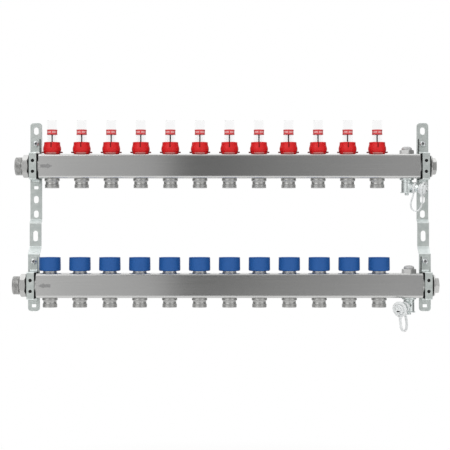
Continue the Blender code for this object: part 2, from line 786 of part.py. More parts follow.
def build():
    clear_scene()
    steel = material("brushed_stainless_steel", (0.62, 0.62, 0.61), 0.35, 1.0)
    zinc = material("zinc_plated_steel", (0.60, 0.64, 0.63), 0.45, 1.0)
    nickel = material("nickel_plated_brass", (0.66, 0.65, 0.62), 0.25, 1.0)
    rubber = material("black_rubber", (0.02, 0.02, 0.02), 0.8, 0.0)
    red = material("red_plastic", (0.75, 0.03, 0.04), 0.4, 0.0)
    blue = material("blue_plastic", (0.03, 0.11, 0.38), 0.45, 0.0)
    graphite = material("dark_plastic", (0.06, 0.06, 0.07), 0.5, 0.0)
    white = material("white_plastic", (0.86, 0.87, 0.86), 0.5, 0.0)

    bar("supply_bar", meter_seat, meter_bore, steel, SUPPLY_Y, SUPPLY_Z)
    bar("return_bar", valve_insert, None, steel, RETURN_Y, RETURN_Z)

    foot = SUPPLY_Z + HALF_BAR + METER_BASE
    seat = RETURN_Z + HALF_BAR + INSERT_HEIGHT + GAP
    ring = placed("flow_meter_01", meter_ring(), red, (PORTS[0], SUPPLY_Y, foot))
    inner = placed("flow_indicator_01", flow_float(), graphite, (PORTS[0], SUPPLY_Y, foot))
    knob = placed("return_cap_01", return_cap(), blue, (PORTS[0], RETURN_Y, seat))
    for number, x in enumerate(PORTS[1:], start=2):
        copied(f"flow_meter_{number:02d}", ring.data, (x, SUPPLY_Y, foot))
        copied(f"flow_indicator_{number:02d}", inner.data, (x, SUPPLY_Y, foot))
        copied(f"return_cap_{number:02d}", knob.data, (x, RETURN_Y, seat))

    rows = (("supply", SUPPLY_Y, SUPPLY_Z), ("return", RETURN_Y, RETURN_Z))
    for hand, x in (("left", -BRACKET_X), ("right", BRACKET_X)):
        bracket("bracket_" + hand, x, zinc)
        for row, y, z in rows:
            liner_ring, nubs = clamp_liner()
            liner = placed(f"clamp_liner_{row}_{hand}", liner_ring, rubber, (x, y, z))
            cut(liner, "UNION", f"clamp_nubs_{row}_{hand}", nubs)
            loop, holes = clamp_strap()
            strap = placed(f"clamp_strap_{row}_{hand}", loop, zinc, (x, y, z))
            cut(strap, "DIFFERENCE", f"clamp_holes_{row}_{hand}", holes)

    for row, y, z in rows:
        inlet_union("inlet_union_" + row, nickel, y, z)
        end_plug("end_plug_" + row, nickel, y, z)
        vent_z = z + HALF_BAR + VENT_HEX_HEIGHT + GAP
        placed("air_vent_" + row, air_vent(), nickel, (SERVICE_X, y, vent_z))
    drain("supply", nickel, white, SUPPLY_SPOUT_TURN, SUPPLY_Y, SUPPLY_Z)
    drain("return", nickel, white, RETURN_SPOUT_TURN, RETURN_Y, RETURN_Z)


build()
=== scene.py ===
"""Looks of the underfloor heating manifold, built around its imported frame.

Metres, +Z up, +X along the bars, +Y into the wall, as in the frame.
"""

import json
import math

import bmesh
import bpy
from mathutils import Matrix, Vector


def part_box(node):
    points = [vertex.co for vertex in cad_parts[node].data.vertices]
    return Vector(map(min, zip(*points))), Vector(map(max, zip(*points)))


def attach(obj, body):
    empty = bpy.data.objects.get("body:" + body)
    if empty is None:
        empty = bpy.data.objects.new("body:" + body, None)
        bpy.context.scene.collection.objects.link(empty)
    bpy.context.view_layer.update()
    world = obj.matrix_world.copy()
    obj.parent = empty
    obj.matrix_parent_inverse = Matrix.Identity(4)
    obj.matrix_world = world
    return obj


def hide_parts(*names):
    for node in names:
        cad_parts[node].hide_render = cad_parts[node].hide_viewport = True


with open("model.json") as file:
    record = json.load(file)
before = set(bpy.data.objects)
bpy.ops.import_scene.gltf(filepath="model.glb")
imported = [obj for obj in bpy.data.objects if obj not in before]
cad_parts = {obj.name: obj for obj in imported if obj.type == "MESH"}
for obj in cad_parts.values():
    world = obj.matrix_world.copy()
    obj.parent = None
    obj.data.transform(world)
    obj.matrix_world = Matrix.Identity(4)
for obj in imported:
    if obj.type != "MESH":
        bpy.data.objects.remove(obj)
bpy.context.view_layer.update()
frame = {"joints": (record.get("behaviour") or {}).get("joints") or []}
joints = {joint["name"]: joint for joint in frame["joints"]}

# Camera of the photograph: level, square on to the bars, in front of them
CAMERA_AT = (-0.0082, -2.476, 0.001)
IMAGE_PIXELS = 450
FOCAL_PIXELS = 1316
SENSOR_MM = 36.0

# Layout
ROWS = ("supply", "return")
HANDS = (("left", -1), ("right", 1))
CIRCUITS = 12
MANIFOLD = "manifold"

# Bars
BAR_HEIGHT = 0.045
BAR_DEPTH = 0.040
BAR_EDGE = 0.0048
BAR_WALL = 0.002
BAR_END = 0.353
BAR_END_ROUND = 0.0009
BAR_END_STEPS = 6
BAR_BULGE = {"supply": 0.0009, "return": 0.0026}
CAP_SLIVER = 0.02
NECK_RADIUS = 0.020
NECK_BORE = 0.0155
NECK_END = 0.373
NECK_CHAMFER = 0.0006
HALF_BAR = BAR_HEIGHT / 2
SINK = 0.001

# Flow arrows; the head and the half shaft are shares of the height
ARROW_X = -0.338
ARROW_LENGTH = 0.0225
ARROW_HEIGHT = 0.0092
ARROW_HEAD = 1.1
ARROW_SHAFT = 0.32
ARROW_PROUD = 0.0001

# Outlet nipples, heights from the bar's underside
NIPPLE_BORE = 0.008
NIPPLE_CONE = 0.0102
NIPPLE_PITCH = 0.001814
NIPPLE_THREAD = (-0.0178, -0.0112)
NIPPLE_THREAD_DEPTH = 0.0005

# Flow meters, heights above the foot of the setting ring; an ear is its width, depth and corner
METER_BASE = 0.0049
RING_HEIGHT = 0.0175
RING_RIBS = 48
LOCK_TOP = -0.0003
# How far either side of the front the lock ring's painted highlight reaches
LOCK_HIGHLIGHT_SPREAD = math.radians(37.0)
LOCK_EAR = (0.0049, 0.0170, 0.0022)
LOCK_EAR_X = 0.01675
LOCK_EAR_LOW = -0.0022
GLASS_RADIUS = 0.009
GLASS_WALL = 0.0016
GLASS_FOOT = 0.0162
GLASS_EDGE = 0.0008
GLASS_TOP = 0.0581
READING_LOW = 0.0317
READING_HIGH = 0.0408
READING_WINDOW = (math.radians(7.0), math.radians(54.0))
ROD_RADIUS = 0.0013

# Regulating caps, heights above the cap's lower edge
CAP_HEIGHT = 0.025
CAP_RIBS = 60
INSERT_HEIGHT = 0.0043

# Brackets; a crank is its upper and lower end, a window its width, height and corner
PLATE_WIDTH = 0.022
PLATE_THICKNESS = 0.0025
PLATE_CORNER = 0.006
PLATE_BURR = 0.00035
FIRST_CRANK = (0.0108, 0.0048)
SECOND_CRANK = (-0.0398, -0.0530)
CRANK_STEPS_OUT = (0.009, 0.030)
CRANK_BEND = 0.003
SLOT_WIDTH = 0.009
SHORT_SLOT = 0.0135
LONG_SLOT = 0.0195
SHORT_SLOTS_Z = (0.1775, 0.0487, 0.0215)
LONG_SLOT_Z = -0.0196
WINDOW = (0.0082, 0.0056, 0.0011)
WINDOW_BELOW_BAR = 0.039

# Clamps
LINER_INSIDE = 0.0203
LINER_OUTSIDE = 0.0232
LINER_WIDTH = 0.0186
LINER_EDGE = 0.0006
LINER_STRAIGHT = 0.35
RUBBER_PROUD = 0.0004
STRAP_INSIDE = 0.0235
STRAP_WIDTH = 0.0136
STRAP_THICKNESS = 0.0016
STRAP_PLAY = 0.0003
STRAP_BENDS = (0.005, 0.0014, 0.0014, 0.005)
STRAP_CORNER = 0.003
STRAP_BURR = 0.0003
EAR_ABOVE_BAR = 0.053
TONGUE_BELOW_BAR = 0.032
SCREW_ABOVE_BAR = 0.0435
SCREW_HOLE = 0.0023
SOCKET_RADIUS = 0.0027
NUB_RADIUS = 0.0028
NUB_PLAY = 0.0003
NUB_OFFSET = 0.010
# A thin black rubber strip beside the strap's ear paints the shade along the ear's inner edge
SHADE_STRIP_WIDTH = 0.0011
SHADE_STRIP_EDGE = 0.0003
SHADE_STRIP_SINK = 0.0001
SHADE_STRIP_FOOT = 0.0256
SHADE_STRIP_TOP = EAR_ABOVE_BAR - 0.0006

# Inlet unions, end plugs and air vents, heights out of what they are screwed into
SHANK = 0.012
END_GAP = 0.0003
UNION_BORE = 0.012
UNION_SPIGOT = 0.0146
UNION_HEX = 0.0373
UNION_HEX_TOP = 0.0110
UNION_PITCH = 0.002309
UNION_THREAD = (0.0130, 0.0248)
UNION_THREAD_DEPTH = 0.0011
PLUG_HEX = 0.027
PLUG_TURN = {"supply": 0.0, "return": math.radians(30.0)}
VENT_HEX = 0.0243
VENT_HEX_HEIGHT = 0.0078
VENT_HEX_TURN = math.radians(36.0)

# Drain cocks, from the middle of the bar's underside with the spout towards the front
SPOUT_DROP = 0.0130
SPOUT_TILT = math.radians(12.0)
SPOUT_REACH = 0.0375
HUB_REACH = 0.0104
DRAIN_CAP_FROM = 0.026
DRAIN_CAP_LENGTH = 0.014
DRAIN_CAP_RIBS = 32
TETHER_WIDTH = 0.005
TETHER_THICKNESS = 0.0019
TETHER_EDGE = 0.0007
TETHER_RING_EDGE = 0.0005
TETHER_STEPS = 8

# The tether's rings: inside and outside radius, width and reach; each root is that wide at its ring
SPOUT_RING = (0.00815, 0.0098, 0.0044, 0.0170)
SPOUT_RING_ROOT = 0.0070
CAP_RING = (0.0099, 0.0145, 0.0030, 0.0338)
CAP_RING_ROOT = 0.0094
ROOT_SWELL = 1.08

# The tether's route in the spout's own plane: out from the swivel axis, and up from the bar's underside
TETHER_ROUTE = [
    (0.0135, -0.0246),
    (0.0133, -0.0280),
    (0.0110, -0.0360),
    (0.0082, -0.0460),
    (0.0088, -0.0545),
    (0.0140, -0.0600),
    (0.0215, -0.0600),
    (0.0275, -0.0540),
    (0.0305, -0.0450),
    (0.0312, -0.0375),
    (0.0310, -0.0314),
]

# Facets and limits of the shapes
CAP_SIDES = 120
FINE = 96
NUT_SIDES = 72
ROUND = 64
NIPPLE_SIDES = 48
SMALL = 40
ROD_SIDES = 24
THREAD_STEPS = 6
CREASE = math.radians(32.0)
NUT_CREASE = math.radians(18.0)
TINY = 1e-6
CORNER_REACH = 0.49
MITRE_LIMIT = 0.2

# Hexagons, as shares of half the width across the flats
HEX_FACE = 0.99
HEX_CORNER = 1.135
HEX_CHAMFER = math.radians(30.0)

TO_LEFT = Matrix.Rotation(-math.pi / 2, 4, "Y")
TO_RIGHT = Matrix.Rotation(math.pi / 2, 4, "Y")
TO_FRONT = Matrix.Rotation(math.pi / 2, 4, "X")


def bar_axis(row):
    low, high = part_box("end_plug_" + row)
    return Vector((0, (low.y + high.y) / 2, (low.z + high.z) / 2))


def joint_place(name):
    return Vector(joints[name]["pos_m"])


def link(thing):
    bpy.context.scene.collection.objects.link(thing)


# Shapes


def eased(points, radius, steps, closed=False):
    """The same run of points with its corners rounded."""
    count = len(points)
    out = []
    for i, here in enumerate(points):
        if not closed and i in (0, count - 1):
            out.append(tuple(here))
            continue
        here = Vector(here)
        back = Vector(points[i - 1]) - here
        ahead = Vector(points[(i + 1) % count]) - here
        half = back.angle(ahead) / 2
        reach = min(radius / math.tan(half), min(back.length, ahead.length) * CORNER_REACH)
        true_radius = reach * math.tan(half)
        towards = (back.normalized() + ahead.normalized()).normalized()
        middle = here + towards * true_radius / math.sin(half)
        first = here + back.normalized() * reach - middle
        turn = first.angle_signed(here + ahead.normalized() * reach - middle)
        for k in range(steps + 1):
            swung = first.copy()
            swung.rotate(Matrix.Rotation(-turn * k / steps, 2))
            out.append(tuple(middle + swung))
    return out


def box_outline(width, height, radius, steps=6, middle=(0, 0)):
    a, b = width / 2, height / 2
    corners = [(-a, -b), (a, -b), (a, b), (-a, b)]
    return [(x + middle[0], y + middle[1]) for x, y in eased(corners, radius, steps, closed=True)]


def through(points, steps):
    """A smooth run through the points, with that many steps in each stretch."""
    held = [Vector(point) for point in points]
    held = [held[0] * 2 - held[1]] + held + [held[-1] * 2 - held[-2]]
    run = []
    for before, here, there, after in zip(held, held[1:], held[2:], held[3:]):
        for k in range(steps):
            t = k / steps
            bend = (2 * before - 5 * here + 4 * there - after) * t * t
            twist = (3 * here - before - 3 * there + after) * t * t * t
            run.append((2 * here + (there - before) * t + bend + twist) / 2)
    run.append(held[-2])
    return run


def turned(profile, sides, shape=None, place=None):
    """A body turned about Z from (radius, height) points; shape may move a point by its turn."""
    body = bmesh.new()
    rings = []
    for radius, height in profile:
        if radius < TINY:
            rings.append([body.verts.new((0, 0, height))])
            continue
        ring = []
        for k in range(sides):
            turn = 2 * math.pi * k / sides
            out, up = shape(radius, height, turn) if shape else (radius, height)
            ring.append(body.verts.new((out * math.cos(turn), out * math.sin(turn), up)))
        rings.append(ring)
    pairs = list(zip(rings, rings[1:]))
    if len(rings[0]) > 1:
        pairs.append((rings[-1], rings[0]))
    for a, b in pairs:
        for k in range(sides):
            after = k + 1
            corners = [a[k % len(a)], a[after % len(a)], b[after % len(b)], b[k % len(b)]]
            body.faces.new(list(dict.fromkeys(corners)))
    if place:
        bmesh.ops.transform(body, matrix=place, verts=body.verts)
    return body


def upright(half, low, high):
    """A plain rectangle that stands about the middle."""
    return [(-half, low), (half, low), (half, high), (-half, high)]


def loft(sections, place=None):
    """A closed body through sections that have as many points each."""
    body = bmesh.new()
    rings = [[body.verts.new(point) for point in section] for section in sections]
    count = len(rings[0])
    for a, b in zip(rings, rings[1:]):
        for k in range(count):
            after = (k + 1) % count
            body.faces.new((a[k], a[after], b[after], b[k]))
    body.faces.new(rings[0][::-1])
    body.faces.new(rings[-1])
    if place:
        bmesh.ops.transform(body, matrix=place, verts=body.verts)
    return body


def prism(outline, low, high, place=None):
    return loft([[(x, y, z) for x, y in outline] for z in (low, high)], place)


def arc_block(corners, start, end, steps):
    """A block with (radius, height) corners, round Z from one turn to another; 0 is the front."""
    sections = []
    for k in range(steps + 1):
        turn = start + (end - start) * k / steps
        out = Vector((math.sin(turn), -math.cos(turn), 0))
        sections.append([out * radius + Vector((0, 0, z)) for radius, z in corners])
    return loft(sections)


def thread(low, high, pitch, depth, least):
    """A shape for turned: a groove that winds round what is outside the least radius."""

    def shape(radius, height, turn):
        if radius < least or not low <= height <= high:
            return radius, height
        phase = (height / pitch + turn / (2 * math.pi)) % 1.0
        fade = min(1.0, (height - low) / pitch, (high - height) / pitch)
        return radius - depth * fade * max(0.0, 1 - 2 * abs(2 * phase - 1)), height

    return shape


def thread_heights(low, high, pitch):
    steps = math.ceil((high - low) / pitch * THREAD_STEPS)
    return [low + (high - low) * k / steps for k in range(steps + 1)]


def ribs(count, depth, low, high, least):
    """A shape for turned: upright grooves in what is outside the least radius."""

    def shape(radius, height, turn):
        if radius < least or not low <= height <= high:
            return radius, height
        return radius - depth * (0.5 - 0.5 * math.cos(count * turn)), height

    return shape


def hexed(across, low, high, both_ends):
    """A shape for turned: a hexagon outside the flats, its corners turned off at the top or both ends."""
    flat = across / 2

    def shape(radius, height, turn):
        if radius <= flat:
            return radius, height
        corner = min(flat / math.cos(turn % (math.pi / 3) - math.pi / 6), flat * HEX_CORNER)
        drop = max(0.0, corner - flat * HEX_FACE) * math.tan(HEX_CHAMFER)
        if height == low and both_ends:
            return corner, low + drop
        if height == high:
            return corner, high - drop
        return corner, height

    return shape


def nut(across, low, high, bore=0.0, both_ends=False):
    face, beyond = across / 2 * HEX_FACE, across
    profile = [(bore, low), (face, low), (beyond, low), (beyond, high), (face, high), (bore, high)]
    return turned(profile, NUT_SIDES, hexed(across, low, high, both_ends))


def gathered(bodies):
    """Several bodies in one mesh."""
    whole = bmesh.new()
    for body in bodies:
        mesh = raw_mesh(body)
        whole.from_mesh(mesh)
        bpy.data.meshes.remove(mesh)
    return whole


def raw_mesh(body):
    mesh = bpy.data.meshes.new("raw")
    bmesh.ops.recalc_face_normals(body, faces=body.faces)
    body.to_mesh(mesh)
    body.free()
    return mesh


def evaluated(thing):
    """The body that an unlinked object's modifiers or curve settings give."""
    link(thing)
    bpy.context.view_layer.update()
    mesh = bpy.data.meshes.new_from_object(thing.evaluated_get(bpy.context.evaluated_depsgraph_get()))
    bpy.data.objects.remove(thing)
    body = bmesh.new()
    body.from_mesh(mesh)
    bpy.data.meshes.remove(mesh)
    return body


def carved(body, tool):
    """The body with the tool taken away."""
    cutter = bpy.data.objects.new("cutter", raw_mesh(tool))
    link(cutter)
    target = bpy.data.objects.new("target", raw_mesh(body))
    step = target.modifiers.new("carve", "BOOLEAN")
    step.operation = "DIFFERENCE"
    step.solver = "EXACT"
    step.object = cutter
    made = evaluated(target)
    bpy.data.objects.remove(cutter)
    return made


def plate(outline, holes, thickness, burr):
    """A stamped plate in the XY plane, with its edges rounded over."""
    curve = bpy.data.curves.new("plate", "CURVE")
    curve.dimensions = "2D"
    curve.fill_mode = "BOTH"
    curve.extrude = thickness / 2 - burr
    curve.bevel_depth = burr
    curve.bevel_resolution = 1
    curve.offset = -burr
    for run in [outline] + [hole[::-1] for hole in holes]:
        line = curve.splines.new("POLY")
        line.points.add(len(run) - 1)
        for point, (x, y) in zip(line.points, run):
            point.co = (x, y, 0, 1)
        line.use_cyclic_u = True
    return evaluated(bpy.data.objects.new("plate", curve))


def lengths_along(path):
    out = [0.0]
    for a, b in zip(path, path[1:]):
        out.append(out[-1] + (Vector(b) - Vector(a)).length)
    return out


def offsets(path, reach):
    """The path moved sideways by the reach, with mitred corners."""
    out = []
    for i, here in enumerate(path):
        before = Vector(here) - Vector(path[i - 1]) if i else Vector(path[1]) - Vector(here)
        after = Vector(path[i + 1]) - Vector(here) if i + 1 < len(path) else before
        a, b = before.normalized(), after.normalized()
        along = (a + b).normalized()
        side = Vector((-along.y, along.x))
        out.append(Vector(here) + side * reach / max(side.dot(Vector((-a.y, a.x))), MITRE_LIMIT))
    return out


def bent(body, path, thickness):
    """Wraps a flat plate round a path of (out, up) points; the plate's Y runs along the path."""
    runs = lengths_along(path)
    for run in runs[1:-1]:
        geometry = body.verts[:] + body.edges[:] + body.faces[:]
        bmesh.ops.bisect_plane(body, geom=geometry, plane_co=(0, run, 0), plane_no=(0, 1, 0))
    near, far = offsets(path, -thickness / 2), offsets(path, thickness / 2)
    for vert in body.verts:
        x, along, proud = vert.co
        i = max(k for k, run in enumerate(runs[:-1]) if run <= max(along, 0.0))
        t = (along - runs[i]) / (runs[i + 1] - runs[i])
        share = proud / thickness + 0.5
        place = near[i].lerp(near[i + 1], t).lerp(far[i].lerp(far[i + 1], t), share)
        vert.co = (x, place.x, place.y)
    return body


# Materials

PLAIN_GRAIN = (400, 400, 400)
ZINC_GRAIN = (120, 120, 120)
BRUSHED_GRAIN = (6, 900, 900)
GRAIN_DETAIL = 4.0
PLAIN_BUMP = 0.04
RELIEF_DEPTH = 0.0002
TINT_ENDS = (0.3, 0.7)
NICKEL_WARMTH = 0.01
BEND_SLOPE = 0.3


def shader_of(material):
    return material.node_tree.nodes["Principled BSDF"]


def greys(low, high, warmth=0.0):
    return [(level, level, level - warmth) for level in (low, high)]


def feed(tree, socket, value):
    """Sets a node's input to a value, or links it to another node's output."""
    if isinstance(value, bpy.types.NodeSocket):
        tree.links.new(value, socket)
    else:
        socket.default_value = value


def set_inputs(tree, node, **inputs):
    """Feeds a node's inputs by their names, with _ for each space."""
    for name, value in inputs.items():
        feed(tree, node.inputs[name.replace("_", " ")], value)
    return node


def add_node(tree, kind, **inputs):
    return set_inputs(tree, tree.nodes.new("ShaderNode" + kind), **inputs)


def finish(name, tints, roughness, metallic=0.0, grain=PLAIN_GRAIN, bump=PLAIN_BUMP, **more):
    """A surface whose tint, roughness and relief follow one grain; more are other inputs of its shader."""
    made = bpy.data.materials.new(name)
    made.use_nodes = True
    tree, shader = made.node_tree, shader_of(made)
    place = add_node(tree, "TexCoord").outputs["Object"]
    stretch = add_node(tree, "Mapping", Vector=place, Scale=grain).outputs["Vector"]
    cloud = add_node(tree, "TexNoise", Vector=stretch, Scale=1.0, Detail=GRAIN_DETAIL).outputs["Fac"]
    tint = add_node(tree, "ValToRGB", Fac=cloud)
    for stop, position, colour in zip(tint.color_ramp.elements, TINT_ENDS, tints):
        stop.position = position
        stop.color = (*colour, 1.0)
    gloss = add_node(tree, "MapRange", Value=cloud, To_Min=roughness[0], To_Max=roughness[1])
    relief = add_node(tree, "Bump", Strength=bump, Distance=RELIEF_DEPTH, Height=cloud)
    set_inputs(tree, shader, Metallic=metallic, Base_Color=tint.outputs["Color"], **more)
    set_inputs(tree, shader, Roughness=gloss.outputs["Result"], Normal=relief.outputs["Normal"])
    return made


def brushed_steel():
    tints = ((0.60, 0.60, 0.595), (0.65, 0.65, 0.64))
    made = finish("brushed_steel", tints, (0.12, 0.16), 1.0, BRUSHED_GRAIN, 0.02, Anisotropic=0.95)
    across = add_node(made.node_tree, "Tangent")
    across.direction_type = "RADIAL"
    across.axis = "X"
    set_inputs(made.node_tree, shader_of(made), Tangent=across.outputs["Tangent"])
    return made


def nickel(name, low, high, roughness):
    """Nickel plate between two grey levels."""
    return finish(name, greys(low, high, NICKEL_WARMTH), roughness, 1.0)


def plastic(name, tints, roughness, bump=PLAIN_BUMP):
    """A moulded plastic or rubber with a soft gloss."""
    return finish(name, tints, roughness, bump=bump, Specular_IOR_Level=0.25)


def clear_plastic():
    tints = greys(0.962, 0.972)
    return finish("clear_plastic", tints, (0.02, 0.06), bump=0.01, Transmission_Weight=1.0, IOR=1.04)


def milky_plastic():
    tints = ((0.88, 0.90, 0.90), (0.90, 0.92, 0.92))
    depth = {"Subsurface_Radius": (0.002, 0.002, 0.002), "Subsurface_Scale": 1.0}
    return finish("milky_plastic", tints, (0.38, 0.5), Subsurface_Weight=0.25, **depth)


FINISHES = {
    "bar_steel": brushed_steel(),
    "zinc": finish("zinc_plate", ((0.58, 0.63, 0.61), (0.68, 0.72, 0.70)), (0.30, 0.40), 0.9, ZINC_GRAIN),
    "nickel": nickel("nickel_plate", 0.56, 0.58, (0.29, 0.35)),
    "rubber": plastic("black_rubber", greys(0.006, 0.014), (0.65, 0.85), 0.2),
    "red_plastic": plastic("red_plastic", ((0.735, 0.0155, 0.0175), (0.755, 0.0165, 0.0185)), (0.30, 0.42)),
    "blue_plastic": plastic("blue_plastic", ((0.0195, 0.110, 0.370), (0.0215, 0.114, 0.380)), (0.38, 0.52)),
    "dark_plastic": finish("dark_plastic", ((0.035, 0.035, 0.04), (0.07, 0.07, 0.075)), (0.4, 0.6)),
    "white_plastic": milky_plastic(),
}
CLEAR = clear_plastic()
FRAME_RED = plastic("frame_red_plastic", ((0.72, 0.074, 0.079), (0.75, 0.080, 0.085)), (0.30, 0.42))
PALE_PINK = plastic("pale_pink_plastic", ((0.86, 0.42, 0.41), (0.93, 0.48, 0.47)), (0.35, 0.5))
# A pale pink that paints the highlight on the front of the lock ring.
HIGHLIGHT_PINK = plastic("highlight_pink_plastic", ((0.60, 0.22, 0.20), (0.66, 0.27, 0.25)), (0.35, 0.5))
# A dark red that paints the shade inside the setting ring's slot.
SLOT_SHADE_RED = plastic("slot_shade_red_plastic", ((0.20, 0.006, 0.005), (0.26, 0.010, 0.008)), (0.35, 0.5))
# A darker red on the lock ring's ears that paints the shade under the setting ring's flare.
EAR_SHADE_RED = plastic("flange_shade_red_plastic", ((0.20, 0.016, 0.014), (0.26, 0.022, 0.020)), (0.45, 0.6))
THREAD_NICKEL = nickel("thread_nickel_plate", 0.48, 0.50, (0.35, 0.41))
POLISHED_NICKEL = nickel("polished_nickel_plate", 0.49, 0.51, (0.16, 0.20))
SATIN_NICKEL = nickel("satin_nickel_plate", 0.63, 0.69, (0.34, 0.44))
VENT_SATIN = finish("vent_satin_plate", greys(0.53, 0.59), (0.45, 0.6), 0.3)
SCREW_STEEL = finish("screw_steel", ((0.66, 0.68, 0.69), (0.74, 0.76, 0.77)), (0.20, 0.30), 1.0)
# A dark grey that paints the shade inside the clamp screw's socket.
SCREW_SOCKET_PAINTED_SHADE = finish("screw_socket_painted_shade", ((0.29, 0.295, 0.30), (0.35, 0.355, 0.36)), (0.4, 0.6), 0.6)
SOCKET_SHADE = finish("socket_shade", ((0.06, 0.065, 0.07), (0.10, 0.105, 0.11)), (0.5, 0.7))
# A brighter, less metallic zinc for the slopes of bends: a painted highlight.
BEND_HIGHLIGHT_TINTS = ((0.82, 0.88, 0.87), (0.90, 0.95, 0.94))
BEND_HIGHLIGHT_ZINC = finish("bend_highlight_zinc_plate", BEND_HIGHLIGHT_TINTS, (0.35, 0.45), 0.4, ZINC_GRAIN)
DRAIN_ZINC = finish("drain_zinc_plate", ((0.70, 0.75, 0.74), (0.80, 0.84, 0.83)), (0.22, 0.34), 0.9)
ENGRAVED = finish("engraved_steel", greys(0.29, 0.36), (0.45, 0.6), 0.8)


# Placing


def solid(name, body, crease=CREASE):
    mesh = raw_mesh(body)
    mesh.name = name
    mesh.shade_smooth()
    mesh.set_sharp_from_angle(angle=crease)
    return mesh


def faced(mesh, first, second, marked):
    """The mesh with the second finish on its marked faces and the first on the others."""
    mesh.materials.append(first)
    mesh.materials.append(second)
    for face in mesh.polygons:
        face.material_index = int(marked(face.center, face.normal))
    return mesh


def on_bend_highlight(_, normal):
    """Whether a face of a bent plate slopes, where a brighter zinc paints the highlight of the bend."""
    return min(abs(normal.y), abs(normal.z)) > BEND_SLOPE


def piece(name, mesh, slot, body=MANIFOLD, place=None, node=None, surface=None):
    """One piece of the object, riding on its body; a node is the solid that it stands for."""
    thing = bpy.data.objects.new(name, mesh)
    if not mesh.materials:
        mesh.materials.append(surface or FINISHES[slot])
    link(thing)
    if place is not None:
        thing.matrix_world = place if isinstance(place, Matrix) else Matrix.Translation(place)
    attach(thing, body)
    if node:
        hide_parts(node)
    return thing


def even_flats(thing):
    """Keeps wide flats flat beside their rounded edges."""
    thing.modifiers.new("even_flats", "WEIGHTED_NORMAL").keep_sharp = True


# Camera


def make_camera():
    data = bpy.data.cameras.new("camera")
    data.sensor_width = SENSOR_MM
    data.lens = SENSOR_MM * FOCAL_PIXELS / IMAGE_PIXELS
    camera = bpy.data.objects.new("camera", data)
    camera.location = CAMERA_AT
    camera.rotation_euler = (math.pi / 2, 0, 0)
    link(camera)
    bpy.context.scene.camera = camera


# Drain cocks


def spout_point(reach):
    return Vector((0, -reach * math.cos(SPOUT_TILT), -SPOUT_DROP - reach * math.sin(SPOUT_TILT)))


def along_spout(reach):
    """A frame whose Z runs out along the spout from that reach."""
    return Matrix.Translation(spout_point(reach)) @ Matrix.Rotation(math.pi / 2 + SPOUT_TILT, 4, "X")


def band_section(here, side, width, thickness):
    """A section of the band across its route, in the spout's own plane."""
    points = [(x, here + side * y) for x, y in box_outline(width, thickness, TETHER_EDGE, 3)]
    return [(x, -point.x, point.y) for x, point in points]


def tether_band():
    """The flat band along its route, and the route's own points."""
    run = through(TETHER_ROUTE, TETHER_STEPS)
    sections = []
    for here, one, other in zip(run, offsets(run, -0.5), offsets(run, 0.5)):
        sections.append(band_section(here, (other - one).normalized(), TETHER_WIDTH, TETHER_THICKNESS))
    return solid("tether_band", loft(sections)), [Vector((0, -point.x, point.y)) for point in run]


def tether_ring(inside, outside, width, reach):
    """A ring of the tether round the spout or its cap."""
    half = width / 2
    profile = [(inside, -half), (outside, -half), (outside, half), (inside, half)]
    return turned(eased(profile, TETHER_RING_EDGE, 3, closed=True), ROUND, place=along_spout(reach))


def tether_root(start, end, wide):
    """The widened root of the band at its ring, between two points of the route."""
    run = through([start, start.lerp(end, 0.5), end], 6)
    along = (end - start).normalized()
    side = Vector((-along.y, along.x))
    sections = []
    for k, here in enumerate(run):
        share = (1 - math.cos(math.pi * k / (len(run) - 1))) / 2
        width = wide + (TETHER_WIDTH - wide) * share
        sections.append(band_section(here, side, width, TETHER_THICKNESS * ROOT_SWELL))
    return loft(sections)


def tether_rings():
    """The rings round the spout and behind the cap, each with its root of the band."""
    points = [Vector(point) for point in TETHER_ROUTE]
    at_spout = [tether_ring(*SPOUT_RING), tether_root(points[0], points[1], SPOUT_RING_ROOT)]
    at_cap = [tether_ring(*CAP_RING), tether_root(points[-1], points[-2], CAP_RING_ROOT)]
    return solid("tether_spout_ring", gathered(at_spout)), solid("tether_cap_ring", gathered(at_cap))


def drain_collar():
    profile = [(0.0066, SINK), (0.0132, SINK), (0.0132, -0.0024), (0.0126, -0.0030), (0.0066, -0.0030)]
    return solid("drain_collar", turned(profile, ROUND))


def drain_cock():
    """The swivelling body with its spout and side hub."""
    body = [(0, 0.0015), (0.006, 0.0015), (0.006, -0.0033), (0.0098, -0.0033), (0.0100, -0.0040)]
    body += [(0.0100, -0.0068), (0.0093, -0.0072), (0.0093, -0.0080), (0.0100, -0.0084)]
    body += [(0.0100, -0.0248), (0.0117, -0.0256), (0.0117, -0.0266), (0.0110, -0.0270)]
    body += [(0.0036, -0.0270), (0.0036, -0.0308), (0.0030, -0.0314), (0, -0.0314)]
    spout = [(0, 0.004), (0.0086, 0.004), (0.0086, 0.0112), (0.0080, 0.0120), (0.0080, 0.0246)]
    spout += [(0.0074, 0.0252), (0.0074, SPOUT_REACH), (0.0055, SPOUT_REACH), (0.0055, 0.020), (0, 0.020)]
    hub = [(0, 0.0), (0.0046, 0.0), (0.0046, 0.0096), (0.0040, 0.0104)]
    hub += [(0.0024, 0.0104), (0.0020, 0.0098), (0, 0.0098)]
    hub_frame = Matrix.Translation(spout_point(HUB_REACH)) @ TO_LEFT
    parts = [turned(body, ROUND), turned(spout, ROUND, place=along_spout(0.0))]
    parts.append(turned(hub, SMALL, place=hub_frame))
    return solid("drain_cock", gathered(parts))


